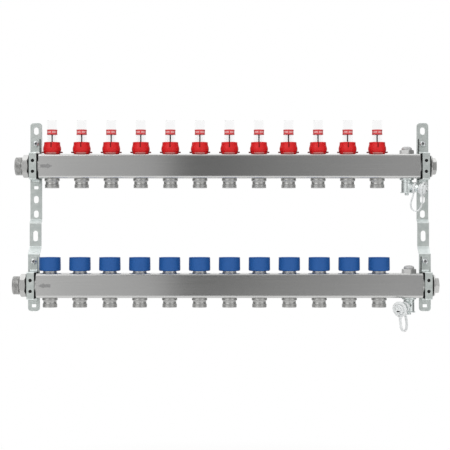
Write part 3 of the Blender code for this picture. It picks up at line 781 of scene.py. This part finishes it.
def drain_cap():
    """The screw cap with grip ribs, a stepped face and a coin slot."""
    top, wall = DRAIN_CAP_LENGTH, 0.0088
    profile = [(0, top), (0.0050, top), (0.0055, top - 0.0005), (0.0055, top - 0.0020)]
    profile += [(0.0066, top - 0.0020), (0.0068, top - 0.0008), (0.0082, top - 0.0008)]
    profile += [(wall, top - 0.0014), (wall, 0.0100), (0.0091, 0.0096), (0.0096, 0.0088), (0.0096, 0.0012)]
    profile += [(0.0092, 0.0002), (0.0084, 0), (0.0084, top - 0.0040), (0, top - 0.0040)]
    body = turned(profile, FINE, ribs(DRAIN_CAP_RIBS, 0.0006, 0.0011, 0.0089, 0.0094))
    slot = prism(box_outline(0.0066, 0.0027, 0.0006, 2, (0, -0.0026)), top - 0.0034, top + 0.001)

    def in_slot(center, _):
        return center.xy.length < 0.0045 and top - 0.0038 < center.z < top - 0.0006

    return faced(solid("drain_cap", carved(body, slot)), FINISHES["white_plastic"], SOCKET_SHADE, in_slot)


def make_drains():
    band, route = tether_band()
    collar, cock, cap = drain_collar(), drain_cock(), drain_cap()
    spout_ring, cap_ring = tether_rings()
    for row in ROWS:
        pivot = Matrix.Translation(joint_place("drain_swivel_" + row))
        axis = joints["drain_cap_turn_" + row]["axis"]
        place = pivot @ Matrix.Rotation(math.atan2(axis[0], -axis[1]), 4, "Z")
        body, lid = "drain_cock_" + row, "drain_cap_" + row
        piece(f"drain_collar_{row}", collar, "nickel", place=pivot, surface=DRAIN_ZINC)
        piece(f"drain_cock_body_{row}", cock, "nickel", body, place, body, DRAIN_ZINC)
        piece(f"drain_cap_ribbed_{row}", cap, "white_plastic", lid, place @ along_spout(DRAIN_CAP_FROM), lid)
        rings = [
            piece(f"tether_spout_ring_{row}", spout_ring, "white_plastic", body, place),
            piece(f"tether_cap_ring_{row}", cap_ring, "white_plastic", body, place),
        ]
        strap = piece(f"tether_band_{row}", band, "white_plastic", body, place, "drain_tether_" + row)


# Bars with their fittings


def bar_body(bulge):
    """The square tube with rounded edges and bulged ends, its necks and its bores; the axis is X."""
    stations = [(BAR_END, BAR_END_ROUND, CAP_SLIVER)]
    for k in range(BAR_END_STEPS + 1):
        angle = math.pi / 2 * (1 - k / BAR_END_STEPS)
        x = BAR_END - BAR_END_ROUND * (1 - math.sin(angle))
        stations.append((x, BAR_END_ROUND * (1 - math.cos(angle)), 1.0))
    sections = []
    for side, run in ((-1, stations), (1, stations[::-1])):
        for x, inset, share in run:
            outline = box_outline(BAR_DEPTH - 2 * inset, BAR_HEIGHT - 2 * inset, BAR_EDGE - inset, 10)
            bulged = [(x + bulge * (1 - (z / HALF_BAR) ** 2), y, z) for y, z in outline]
            sections.append([(side * out, y * share, z) for out, y, z in bulged])
    inner = box_outline(BAR_DEPTH - 2 * BAR_WALL, BAR_HEIGHT - 2 * BAR_WALL, BAR_EDGE - BAR_WALL, 4)
    reach = BAR_END - BAR_WALL
    hollow = loft([[(x, y, z) for y, z in inner] for x in (-reach, reach)])
    low, high = -HALF_BAR - SINK, -HALF_BAR + 2 * BAR_WALL
    bore = [(0, low), (NIPPLE_BORE, low), (NIPPLE_BORE, high), (0, high)]
    places = [Matrix.Translation((joint_place(name).x, 0, 0)) for name in port_joints("return")]
    bores = gathered([turned(bore, SMALL, place=place) for place in places])
    holed = carved(carved(loft(sections), hollow), bores)
    neck = [(NECK_BORE, reach), (NECK_RADIUS, reach), (NECK_RADIUS, NECK_END - NECK_CHAMFER)]
    neck += [(NECK_RADIUS - NECK_CHAMFER, NECK_END), (NECK_BORE, NECK_END)]
    necks = [turned(neck, ROUND, place=side) for side in (TO_LEFT, TO_RIGHT)]
    return solid("bar", gathered([holed] + necks))


def port_joints(row):
    kind = {"supply": "flow_setting", "return": "return_setting"}[row]
    return [f"{kind}_{number:02d}" for number in range(1, CIRCUITS + 1)]


def nipple():
    """An outlet nipple with its collar, waist, thread and inner cone."""
    low, high = NIPPLE_THREAD
    outer = [(0.0134, z) for z in thread_heights(low + 0.0005, high - 0.0004, NIPPLE_PITCH)]
    profile = [(NIPPLE_BORE, SINK), (0.0139, SINK), (0.0139, -0.0006), (0.0141, -0.0010), (0.0141, -0.0040)]
    profile += [(0.0134, -0.0050), (0.0124, -0.0054), (0.0121, -0.0060), (0.0121, -0.0102)]
    profile += [(0.0124, -0.0108), (0.0127, high)] + outer[::-1]
    profile += [(0.0129, low), (NIPPLE_CONE, low), (NIPPLE_BORE, low + 0.0080)]
    winding = thread(low, high, NIPPLE_PITCH, NIPPLE_THREAD_DEPTH, 0.0129)
    return solid("nipple", turned(profile, NIPPLE_SIDES, winding))


def arrow(towards):
    """A flow arrow on the front of a bar, in X and Z about its middle."""
    half, top, shaft = ARROW_LENGTH / 2, ARROW_HEIGHT / 2, ARROW_HEIGHT * ARROW_SHAFT
    neck = half - ARROW_HEIGHT * ARROW_HEAD
    points = [(-half, -shaft), (neck, -shaft), (neck, -top), (half, 0)]
    points += [(neck, top), (neck, shaft), (-half, shaft)]
    return [(x * towards, z) for x, z in points]


def make_bars():
    outlet = nipple()
    for row in ROWS:
        axis = bar_axis(row)
        tube = bar_body(BAR_BULGE[row])
        even_flats(piece(f"{row}_bar_tube", tube, "bar_steel", place=axis, node=f"{row}_bar"))
        for number, name in enumerate(port_joints(row), start=1):
            port = Vector((joint_place(name).x, axis.y, axis.z - HALF_BAR))
            piece(f"{row}_nipple_{number:02d}", outlet, "nickel", place=port, surface=THREAD_NICKEL)
    for row, towards in zip(ROWS, (1, -1)):
        name = f"flow_arrow_{row}"
        mark = solid(name, prism(arrow(towards), -ARROW_PROUD, ARROW_PROUD))
        front = Matrix.Translation(bar_axis(row) + Vector((ARROW_X, -BAR_DEPTH / 2, 0))) @ TO_FRONT
        piece(name, mark, "bar_steel", place=front, surface=ENGRAVED)


# Flow meters


def setting_ring():
    """The red setting ring with a flared grip and a front slot, whose shade a dark inlay paints."""
    inside, floor = 0.0062, 0.0160
    profile = [(inside, 0.0), (0.0155, 0.0), (0.0161, 0.0004), (0.0165, 0.0018), (0.0168, 0.0044)]
    profile += [(0.0167, 0.0066), (0.0162, 0.0086), (0.0156, 0.0106), (0.0151, 0.0126), (0.0149, 0.0142)]
    profile += [(0.0149, RING_HEIGHT - 0.0004), (0.0145, RING_HEIGHT), (GLASS_RADIUS + 0.0006, RING_HEIGHT)]
    profile += [(GLASS_RADIUS + 0.0002, floor), (inside, floor)]
    body = turned(profile, FINE, ribs(RING_RIBS, 0.0002, 0.0044, 0.0090, 0.0155))
    slot = prism(upright(0.0011, 0.0076, 0.0190), 0.0132, 0.0200, TO_FRONT)
    return solid("setting_ring", carved(body, slot))


# A dark inlay in the bottom of the ring's slot, as painted shade.
def slot_shade_inlay():
    return solid("slot_shade_inlay", prism(upright(0.0010, 0.0078, 0.0168), 0.0130, 0.0144, TO_FRONT))


def lock_ring():
    """The tapered ring under the setting ring."""
    inside, low = 0.006, -METER_BASE - SINK
    profile = [(inside, low), (0.0130, low), (0.0134, -0.0047), (0.0146, -0.0038), (0.0155, -0.0026)]
    profile += [(0.0158, -0.0014), (0.0158, LOCK_TOP), (inside, LOCK_TOP)]
    return solid("meter_lock_ring", turned(profile, ROUND))


def lock_highlight():
    """A pale pink patch on the front of the lock ring's taper: a painted highlight on the red plastic."""
    corners = [(0.0150, -0.0018), (0.01605, -0.0018), (0.0158, -0.0027), (0.0148, -0.0039)]
    corners += [(0.0140, -0.0046), (0.0130, -0.0046)]
    return solid("meter_lock_highlight", arc_block(corners, -LOCK_HIGHLIGHT_SPREAD, LOCK_HIGHLIGHT_SPREAD, 14))


def lock_ears():
    outlines = [box_outline(*LOCK_EAR, 5, (side * LOCK_EAR_X, 0)) for _, side in HANDS]
    return solid("meter_flange", gathered([prism(outline, LOCK_EAR_LOW, LOCK_TOP) for outline in outlines]))


def sight_glass():
    inside, roof = GLASS_RADIUS - GLASS_WALL, GLASS_TOP - GLASS_WALL
    profile = [(0, GLASS_TOP), (GLASS_RADIUS, GLASS_TOP), (GLASS_RADIUS, GLASS_FOOT)]
    profile += [(inside, GLASS_FOOT), (inside, roof), (0, roof)]
    return solid("sight_glass", turned(eased(profile, GLASS_EDGE, 3), SMALL))


def scale_sleeve():
    inside, outside, low = 0.0050, 0.0056, RING_HEIGHT - 0.002
    profile = [(inside, low), (outside, low), (outside, READING_LOW), (inside, READING_LOW)]
    return solid("scale_sleeve", turned(profile, SMALL))


def reading_ring():
    """The red frame that is set on the glass to mark a reading."""
    inside, rim, band = GLASS_RADIUS + 0.0001, 0.0097, 0.0093
    profile = [(inside, READING_LOW), (rim, READING_LOW), (rim, READING_LOW + 0.0018)]
    profile += [(band, READING_LOW + 0.0022), (band, READING_HIGH - 0.0022)]
    profile += [(rim, READING_HIGH - 0.0018), (rim, READING_HIGH), (inside, READING_HIGH)]
    return solid("reading_ring", turned(profile, ROUND))


def reading_windows():
    inside, outside = 0.0092, 0.00945
    low, high = READING_LOW + 0.0030, READING_HIGH - 0.0030
    corners = [(inside, low), (outside, low), (outside, high), (inside, high)]
    near, far = READING_WINDOW
    blocks = [arc_block(corners, start, end, 10) for start, end in ((near, far), (-far, -near))]
    return solid("reading_windows", gathered(blocks))


def flow_rod():
    """The indicator's disc, rod and paddle."""
    top = RING_HEIGHT + 0.0188
    paddle = -METER_BASE - 0.006
    profile = [(0, top), (0.0042, top), (0.0046, top - 0.0005), (0.0046, top - 0.0025)]
    profile += [(0.0042, top - 0.003), (ROD_RADIUS, top - 0.0034), (ROD_RADIUS, paddle + 0.0004)]
    profile += [(0.0040, paddle), (0.0042, paddle - 0.0012), (0.0038, paddle - 0.0015), (0, paddle - 0.0015)]
    return solid("flow_rod", turned(profile, ROD_SIDES))


def make_flow_meters():
    fixed = [
        ("meter_lock_ring", lock_ring(), "red_plastic", None),
        ("meter_lock_highlight", lock_highlight(), "red_plastic", HIGHLIGHT_PINK),
        ("meter_flange", lock_ears(), "red_plastic", EAR_SHADE_RED),
    ]
    turning = [
        ("slot_shade_inlay", slot_shade_inlay(), "red_plastic", SLOT_SHADE_RED),
        ("sight_glass", sight_glass(), "white_plastic", CLEAR),
        ("scale_sleeve", scale_sleeve(), "white_plastic", CLEAR),
        ("reading_ring", reading_ring(), "red_plastic", FRAME_RED),
        ("reading_windows", reading_windows(), "red_plastic", PALE_PINK),
    ]
    ring, rod = setting_ring(), flow_rod()
    for number, name in enumerate(port_joints("supply"), start=1):
        foot = joint_place(name)
        tag = f"_{number:02d}"
        meter, reading = "flow_meter" + tag, "flow_indicator" + tag
        for title, mesh, slot, surface in fixed:
            piece(title + tag, mesh, slot, place=foot, surface=surface)
        for title, mesh, slot, surface in turning:
            piece(title + tag, mesh, slot, meter, foot, surface=surface)
        piece("setting_ring" + tag, ring, "red_plastic", meter, foot, meter)
        piece("flow_rod" + tag, rod, "dark_plastic", reading, foot, reading)


# Regulating caps


def regulating_cap():
    """The blue cap with fine grip grooves, a lid seam and a dished top."""
    top, dish, roof = CAP_HEIGHT, CAP_HEIGHT - 0.0008, CAP_HEIGHT - 0.009
    profile = [(0, dish), (0.0150, dish), (0.0160, top), (0.0189, top), (0.0195, top - 0.0006)]
    profile += [(0.0195, top - 0.0012), (0.0191, top - 0.0014), (0.0191, top - 0.0018)]
    profile += [(0.0195, top - 0.0020), (0.0198, 0.0030), (0.0196, 0.0014), (0.0189, 0.0005)]
    profile += [(0.0178, 0.0), (0.0112, 0.0), (0.0112, roof), (0, roof)]
    grip = ribs(CAP_RIBS, 0.00022, 0.0026, top - 0.0019, 0.0193)
    return solid("regulating_cap", turned(profile, CAP_SIDES, grip))


def valve_insert():
    """The plated insert under the cap; the height is from the cap's lower edge."""
    low = -INSERT_HEIGHT - SINK
    profile = [(0, 0.0108), (0.0082, 0.0108), (0.0088, 0.0102), (0.0088, -0.0001), (0.0121, -0.0001)]
    profile += [(0.0125, -0.0005), (0.0125, -0.0020), (0.0121, -0.0022), (0.0121, -0.0026)]
    profile += [(0.0131, -0.0028), (0.0135, -0.0032), (0.0135, low), (0, low)]
    return solid("valve_insert", turned(profile, ROUND))


def make_regulating_caps():
    cap, insert = regulating_cap(), valve_insert()
    for number, name in enumerate(port_joints("return"), start=1):
        seat = joint_place(name)
        tag = f"_{number:02d}"
        piece("valve_insert" + tag, insert, "nickel", place=seat, surface=SATIN_NICKEL)
        piece("regulating_cap" + tag, cap, "blue_plastic", "return_cap" + tag, seat, "return_cap" + tag)


# Brackets and clamps


def height_on(path, height):
    """The length along a rising path at which it reaches a height."""
    runs = lengths_along(path)
    for i, (a, b) in enumerate(zip(path, path[1:])):
        if a[1] <= height <= b[1]:
            return runs[i] + (runs[i + 1] - runs[i]) * (height - a[1]) / (b[1] - a[1])
    raise ValueError(height)


def bracket_plate():
    """The cranked strip with its slots and windows, standing on the wall plane."""
    low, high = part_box("bracket_left")
    back = -PLATE_THICKNESS / 2
    middle, front = (back - out for out in CRANK_STEPS_OUT)
    run = [(front, low.z), (front, SECOND_CRANK[1]), (middle, SECOND_CRANK[0]), (middle, FIRST_CRANK[1])]
    run += [(back, FIRST_CRANK[0]), (back, high.z)]
    path = eased(run, CRANK_BEND, 5)
    total = lengths_along(path)[-1]
    outline = box_outline(PLATE_WIDTH, total, PLATE_CORNER, 8, (0, total / 2))
    holes = [(SLOT_WIDTH, SHORT_SLOT, SLOT_WIDTH / 2, z) for z in SHORT_SLOTS_Z]
    holes.append((SLOT_WIDTH, LONG_SLOT, SLOT_WIDTH / 2, LONG_SLOT_Z))
    holes += [(*WINDOW, bar_axis(row).z - WINDOW_BELOW_BAR) for row in ROWS]
    screw_hole = (2 * SCREW_HOLE, 2 * SCREW_HOLE, SCREW_HOLE)
    holes += [(*screw_hole, bar_axis(row).z + SCREW_ABOVE_BAR) for row in ROWS]
    cuts = [box_outline(w, h, r, 8, (0, height_on(path, z))) for w, h, r, z in holes]
    strip = bent(plate(outline, cuts, PLATE_THICKNESS, PLATE_BURR), path, PLATE_THICKNESS)
    # The sloping faces of the cranks take the brighter zinc as a painted highlight.
    return faced(solid("bracket", strip), FINISHES["zinc"], BEND_HIGHLIGHT_ZINC, on_bend_highlight)


def clamp_strap():
    """The bent strap, from its tongue round the bar's neck to its ear."""
    half = STRAP_THICKNESS / 2
    back, loop = STRAP_INSIDE - STRAP_PLAY - half, STRAP_INSIDE + half
    corners = [(back, -TONGUE_BELOW_BAR), (back, -loop), (-loop, -loop)]
    corners += [(-loop, loop), (back, loop), (back, EAR_ABOVE_BAR)]
    path = [corners[0]]
    for i, bend in enumerate(STRAP_BENDS, start=1):
        path += eased(corners[i - 1 : i + 2], bend, 5)[1:-1]
    path.append(corners[-1])
    runs = lengths_along(path)
    total = runs[-1]
    outline = box_outline(STRAP_WIDTH, total, STRAP_CORNER, 5, (0, total / 2))
    face = [run for run, point in zip(runs, path) if abs(point[0] + loop) < TINY]
    middle = (face[0] + face[-1]) / 2
    ear = total - (EAR_ABOVE_BAR - SCREW_ABOVE_BAR)
    nub_hole = NUB_RADIUS + NUB_PLAY
    holes = [(nub_hole, middle - NUB_OFFSET), (nub_hole, middle + NUB_OFFSET), (SCREW_HOLE, ear)]
    cuts = [box_outline(2 * r, 2 * r, r, 6, (0, place)) for r, place in holes]
    strap = bent(plate(outline, cuts, STRAP_THICKNESS, STRAP_BURR), path, STRAP_THICKNESS)
    # The sloping faces of the bends take the brighter zinc as a painted highlight.
    return faced(solid("clamp_strap", strap), FINISHES["zinc"], BEND_HIGHLIGHT_ZINC, on_bend_highlight)


def clamp_liner(inwards, drawn_back, with_shade_strip):
    """The rubber round the neck, with its two nubs and a thin black strip beside the strap's ear that paints
    the shade of the ear's edge.
    """

    def shape(radius, height, turn):
        if height * inwards < 0:
            return radius, height
        facing = max(0.0, abs(math.sin(turn)) - LINER_STRAIGHT) / (1 - LINER_STRAIGHT)
        return radius, height - inwards * drawn_back * facing

    half = LINER_WIDTH / 2
    ring = [(LINER_INSIDE, -half), (LINER_OUTSIDE, -half), (LINER_OUTSIDE, half), (LINER_INSIDE, half)]
    tip = STRAP_INSIDE + STRAP_THICKNESS + RUBBER_PROUD
    nub = [(0, LINER_INSIDE), (NUB_RADIUS, LINER_INSIDE), (NUB_RADIUS, tip - LINER_EDGE)]
    nub += [(NUB_RADIUS - LINER_EDGE, tip), (0, tip)]
    parts = [turned(eased(ring, LINER_EDGE, 3, closed=True), ROUND, shape, TO_RIGHT)]
    for side in (-1, 1):
        parts.append(turned(nub, SMALL, place=Matrix.Translation((0, 0, side * NUB_OFFSET)) @ TO_FRONT))
    # The black strip beside the ear is painted shade.
    if with_shade_strip:
        beside = inwards * (STRAP_WIDTH / 2 + SHADE_STRIP_WIDTH / 2 - SHADE_STRIP_SINK)
        middle = (beside, (SHADE_STRIP_FOOT + SHADE_STRIP_TOP) / 2)
        shade_strip = box_outline(SHADE_STRIP_WIDTH, SHADE_STRIP_TOP - SHADE_STRIP_FOOT, SHADE_STRIP_EDGE, 2, middle)
        back = STRAP_INSIDE - STRAP_PLAY
        parts.append(prism(shade_strip, -back, STRAP_THICKNESS - back + RUBBER_PROUD, TO_FRONT))
    return solid("clamp_liner", gathered(parts))


def clamp_screw():
    """A socket screw with a low round head, its socket faces darkened as painted shade; its height is out of
    the strap's ear.
    """
    top = 0.0036
    profile = [(0, top), (0.0036, top), (0.0047, 0.0030), (0.0055, 0.0016), (0.0057, 0.0)]
    profile += [(0.0021, 0.0), (0.0021, -0.0030), (0, -0.0030)]
    turns = [k * math.pi / 3 for k in range(6)]
    socket = [(SOCKET_RADIUS * math.cos(turn), SOCKET_RADIUS * math.sin(turn)) for turn in turns]
    body = carved(turned(profile, SMALL), prism(socket, 0.0006, top + 0.0004))

    def in_shaded_socket(center, _):
        return center.xy.length < SOCKET_RADIUS and 0 < center.z < top - 0.0001

    return faced(solid("clamp_screw", body), SCREW_STEEL, SCREW_SOCKET_PAINTED_SHADE, in_shaded_socket)


def make_brackets():
    strip, strap, screw = bracket_plate(), clamp_strap(), clamp_screw()
    for hand, side in HANDS:
        low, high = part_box("bracket_" + hand)
        x = (low.x + high.x) / 2
        even_flats(piece(f"bracket_strip_{hand}", strip, "zinc", place=(x, 0, 0), node="bracket_" + hand))
        for row in ROWS:
            place = bar_axis(row) + Vector((x, 0, 0))
            name = f"{row}_{hand}"
            # Every clamp but the lower left gets the black strip of painted shade beside its ear.
            liner = clamp_liner(-side, BAR_BULGE[row], name != "return_left")
            even_flats(piece(f"clamp_band_{name}", strap, "zinc", place=place, node="clamp_strap_" + name))
            piece(f"clamp_rubber_{name}", liner, "rubber", place=place, node="clamp_liner_" + name)
            ear = place + Vector((0, STRAP_INSIDE - STRAP_PLAY - STRAP_THICKNESS, SCREW_ABOVE_BAR))
            piece(f"clamp_screw_{name}", screw, "zinc", place=Matrix.Translation(ear) @ TO_FRONT)


# Unions, plugs and vents


def inlet_union():
    """The hexagon, thread relief and male thread."""
    low, high = UNION_THREAD
    outer = [(0.0168, z) for z in thread_heights(low + 0.0004, high - 0.0012, UNION_PITCH)]
    profile = [(UNION_BORE, -SHANK), (UNION_SPIGOT, -SHANK), (UNION_SPIGOT, low - 0.0006), (0.0152, low)]
    profile += outer + [(0.0160, high - 0.0004), (0.0152, high), (0.0128, high), (UNION_BORE, high - 0.0008)]
    winding = thread(low, high - 0.0010, UNION_PITCH, UNION_THREAD_DEPTH, 0.0160)
    hexagon = nut(UNION_HEX, END_GAP, UNION_HEX_TOP, 0.0140, both_ends=True)
    mesh = solid("inlet_union", gathered([hexagon, turned(profile, ROUND, winding)]))

    def on_thread(center, _):
        return center.z > UNION_HEX_TOP + 0.0001

    return faced(mesh, FINISHES["nickel"], THREAD_NICKEL, on_thread)


def end_plug():
    """The flange, a turned step and the hexagon head."""
    profile = [(0, -SHANK), (0.0152, -SHANK), (0.0152, END_GAP), (0.0194, END_GAP), (0.0200, 0.0009)]
    profile += [(0.0200, 0.0029), (0.0194, 0.0035), (0.0150, 0.0038), (0, 0.0038)]
    head = nut(PLUG_HEX, 0.0030, 0.0110)
    return solid("end_plug", gathered([turned(profile, ROUND), head]), NUT_CREASE)


def vent_screw():
    """The domed bleed screw with its driver slot."""
    profile = [(0, 0.0062), (0.0034, 0.0061), (0.0062, 0.0056), (0.0084, 0.0044), (0.0095, 0.0027)]
    profile += [(0.0098, 0.0010), (0.0095, 0.0), (0.004, 0.0), (0.004, -0.006), (0, -0.006)]
    slot = prism(box_outline(0.0014, 0.024, 0.0002, 1), 0.0048, 0.0080)
    return solid("vent_screw", carved(turned(profile, ROUND), slot))


def make_ends():
    union, screw = inlet_union(), vent_screw()
    boss = solid("vent_boss", nut(VENT_HEX, -SINK, VENT_HEX_HEIGHT), NUT_CREASE)
    boss_turn = Matrix.Rotation(VENT_HEX_TURN, 4, "Z")
    plates = {"supply": POLISHED_NICKEL, "return": SATIN_NICKEL}
    neck = Vector((NECK_END, 0, 0))
    for row in ROWS:
        axis = bar_axis(row)
        inlet = Matrix.Translation(axis - neck) @ TO_LEFT
        piece(f"union_{row}", union, "nickel", place=inlet, node="inlet_union_" + row)
        end = Matrix.Translation(axis + neck) @ TO_RIGHT @ Matrix.Rotation(PLUG_TURN[row], 4, "Z")
        piece(f"plug_{row}", end_plug(), "nickel", place=end, node="end_plug_" + row, surface=plates[row])
        vent = joint_place("air_vent_turn_" + row)
        foot = Matrix.Translation(vent - Vector((0, 0, VENT_HEX_HEIGHT))) @ boss_turn
        piece(f"vent_boss_{row}", boss, "nickel", place=foot)
        top, body = vent + Vector((0, 0, END_GAP)), "air_vent_" + row
        piece(f"vent_screw_{row}", screw, "nickel", body, top, body, VENT_SATIN)


# Studio

FLOOR_Z = -0.60
FLOOR_SIZE = 5.4
FLOOR_FADE = (0.5, 1.25)
FLOOR_WHITE_SHARE = 0.5

# What lights matt surfaces, from the middle and from the sides
DIFFUSE_LEVEL = 0.90
SIDE_LEVEL = 0.02
SIDE_FROM = (0.30, 0.90)

# What metal reflects, by degrees round from the front: a strip in front, then the whole circle
FRONT_STOPS = (
    (-12.0, 0.85),
    (-7.0, 0.57),
    (-2.75, 0.475),
    (-1.95, 0.150),
    (-1.0, 0.158),
    (0.0, 0.19),
    (8.0, 0.43),
    (12.0, 0.22),
)
ROUND_STOPS = (
    (-180.0, 1.00),
    (-150.0, 0.55),
    (-120.0, 0.12),
    (-85.0, 0.15),
    (-62.0, 0.70),
    (-45.0, 0.95),
    (-20.0, 0.80),
    (20.0, 0.13),
    (32.0, 0.22),
    (45.0, 0.75),
    (62.0, 0.65),
    (85.0, 0.15),
    (120.0, 0.12),
    (150.0, 0.55),
    (180.0, 1.00),
)
CIRCLE_FROM = (10.0, 22.0)

# What metal reflects from above and below; each level passes over between two values of X, Y or Z
OVERHEAD_LEVELS = (0.42, 0.62)
OVERHEAD_SIDES_FROM = (0.10, 0.17)
OVERHEAD_FROM = (0.18, 0.60)
BACK_LEVEL = 0.95
BACK_FROM = (0.10, 0.35)
UNDERFOOT_LEVEL = 0.57
UNDERFOOT_FROM = (-0.22, -0.45)

# Lamps: name, place, size and power
LAMPS = (
    ("key", (-2.2, -2.7, 2.4), 3.2, 41.0),
    ("fill", (2.2, -2.8, 0.5), 3.0, 15.0),
    ("overhead", (0.0, 0.35, 2.6), 3.0, 17.0),
)


def value_ramp(tree, value, stops):
    """Grey levels by a value, from the first stop's place to the last's."""
    low, high = stops[0][0], stops[-1][0]
    ramp = add_node(tree, "ValToRGB", Fac=ranged(tree, value, low, high))
    elements = ramp.color_ramp.elements
    for _ in range(len(stops) - len(elements)):
        elements.new(0.5)
    for stop, (place, level) in zip(elements, stops):
        stop.position = (place - low) / (high - low)
        stop.color = (level, level, level, 1.0)
    return ramp.outputs["Color"]


def math_node(tree, operation, *inputs):
    node = add_node(tree, "Math")
    node.operation = operation
    for socket, value in zip(node.inputs, inputs):
        feed(tree, socket, value)
    return node.outputs[0]


def ranged(tree, value, low, high):
    return add_node(tree, "MapRange", Value=value, From_Min=low, From_Max=high).outputs["Result"]


def mixed(tree, share, first, second):
    """A mix of two levels, each a number or another node's colour."""
    node = add_node(tree, "Mix")
    node.data_type = "RGBA"
    tree.links.new(share, node.inputs["Factor"])
    for name, value in (("A", first), ("B", second)):
        socket = [s for s in node.inputs if s.name == name and s.type == "RGBA"][0]
        feed(tree, socket, (value, value, value, 1.0) if isinstance(value, float) else value)
    return [s for s in node.outputs if s.type == "RGBA"][0]


def make_world():
    """White behind the object, a soft front light on matt surfaces, and the studio's cards in the metal."""
    world = bpy.data.worlds.new("studio")
    bpy.context.scene.world = world
    world.use_nodes = True
    tree = world.node_tree
    where = add_node(tree, "TexCoord").outputs["Generated"]
    x, y, z = add_node(tree, "SeparateXYZ", Vector=where).outputs
    outwards = math_node(tree, "ABSOLUTE", x)
    forwards = math_node(tree, "MULTIPLY", y, -1.0)
    turn = math_node(tree, "DEGREES", math_node(tree, "ARCTAN2", x, forwards))
    aside = ranged(tree, math_node(tree, "ABSOLUTE", turn), *CIRCLE_FROM)
    cards = mixed(tree, aside, value_ramp(tree, turn, FRONT_STOPS), value_ramp(tree, turn, ROUND_STOPS))
    overhead = mixed(tree, ranged(tree, outwards, *OVERHEAD_SIDES_FROM), *OVERHEAD_LEVELS)
    overhead = mixed(tree, ranged(tree, y, *BACK_FROM), overhead, BACK_LEVEL)
    cards = mixed(tree, ranged(tree, z, *OVERHEAD_FROM), cards, overhead)
    cards = mixed(tree, ranged(tree, z, *UNDERFOOT_FROM), cards, UNDERFOOT_LEVEL)
    matt = mixed(tree, ranged(tree, outwards, *SIDE_FROM), DIFFUSE_LEVEL, SIDE_LEVEL)
    rays = add_node(tree, "LightPath").outputs
    level = mixed(tree, rays["Is Glossy Ray"], matt, cards)
    seen = math_node(tree, "MAXIMUM", rays["Is Camera Ray"], rays["Is Transmission Ray"])
    level = mixed(tree, seen, level, 1.0)
    tree.links.new(level, tree.nodes["Background"].inputs["Color"])


def floor_finish():
    """A pale floor that keeps its shadow near the object and passes into the white further out."""
    made = finish("pale_floor", greys(0.86, 0.90), (0.8, 0.9), bump=0.0)
    tree = made.node_tree
    away = add_node(tree, "VectorMath")
    away.operation = "LENGTH"
    tree.links.new(add_node(tree, "TexCoord").outputs["Object"], away.inputs[0])
    near, far = FLOOR_FADE
    fade = add_node(tree, "MapRange", Value=away.outputs["Value"], From_Min=near, From_Max=far)
    fade.interpolation_type = "SMOOTHSTEP"
    fade.inputs["To Min"].default_value = FLOOR_WHITE_SHARE
    rays = add_node(tree, "LightPath").outputs
    seen = math_node(tree, "MAXIMUM", rays["Is Camera Ray"], rays["Is Glossy Ray"])
    blend = add_node(tree, "MixShader", Fac=math_node(tree, "MULTIPLY", fade.outputs["Result"], seen))
    tree.links.new(shader_of(made).outputs["BSDF"], blend.inputs[1])
    tree.links.new(add_node(tree, "Emission").outputs["Emission"], blend.inputs[2])
    tree.links.new(blend.outputs["Shader"], tree.nodes["Material Output"].inputs["Surface"])
    return made


def make_studio():
    half = FLOOR_SIZE / 2
    ground = bpy.data.meshes.new("floor")
    corners = [(x * half, y * half, 0) for x, y in ((-1, -1), (1, -1), (1, 1), (-1, 1))]
    ground.from_pydata(corners, [], [(0, 1, 2, 3)])
    ground.materials.append(floor_finish())
    floor = bpy.data.objects.new("floor", ground)
    floor.location.z = FLOOR_Z
    link(floor)
    for name, place, size, power in LAMPS:
        data = bpy.data.lights.new(name, "AREA")
        data.size = size
        data.energy = power
        lamp = bpy.data.objects.new(name, data)
        lamp.location = place
        lamp.rotation_euler = (-Vector(place)).to_track_quat("-Z", "Y").to_euler()
        link(lamp)
    bpy.context.scene.view_settings.view_transform = "Standard"


make_camera()
make_drains()
make_bars()
make_flow_meters()
make_regulating_caps()
make_brackets()
make_ends()
make_world()
make_studio()
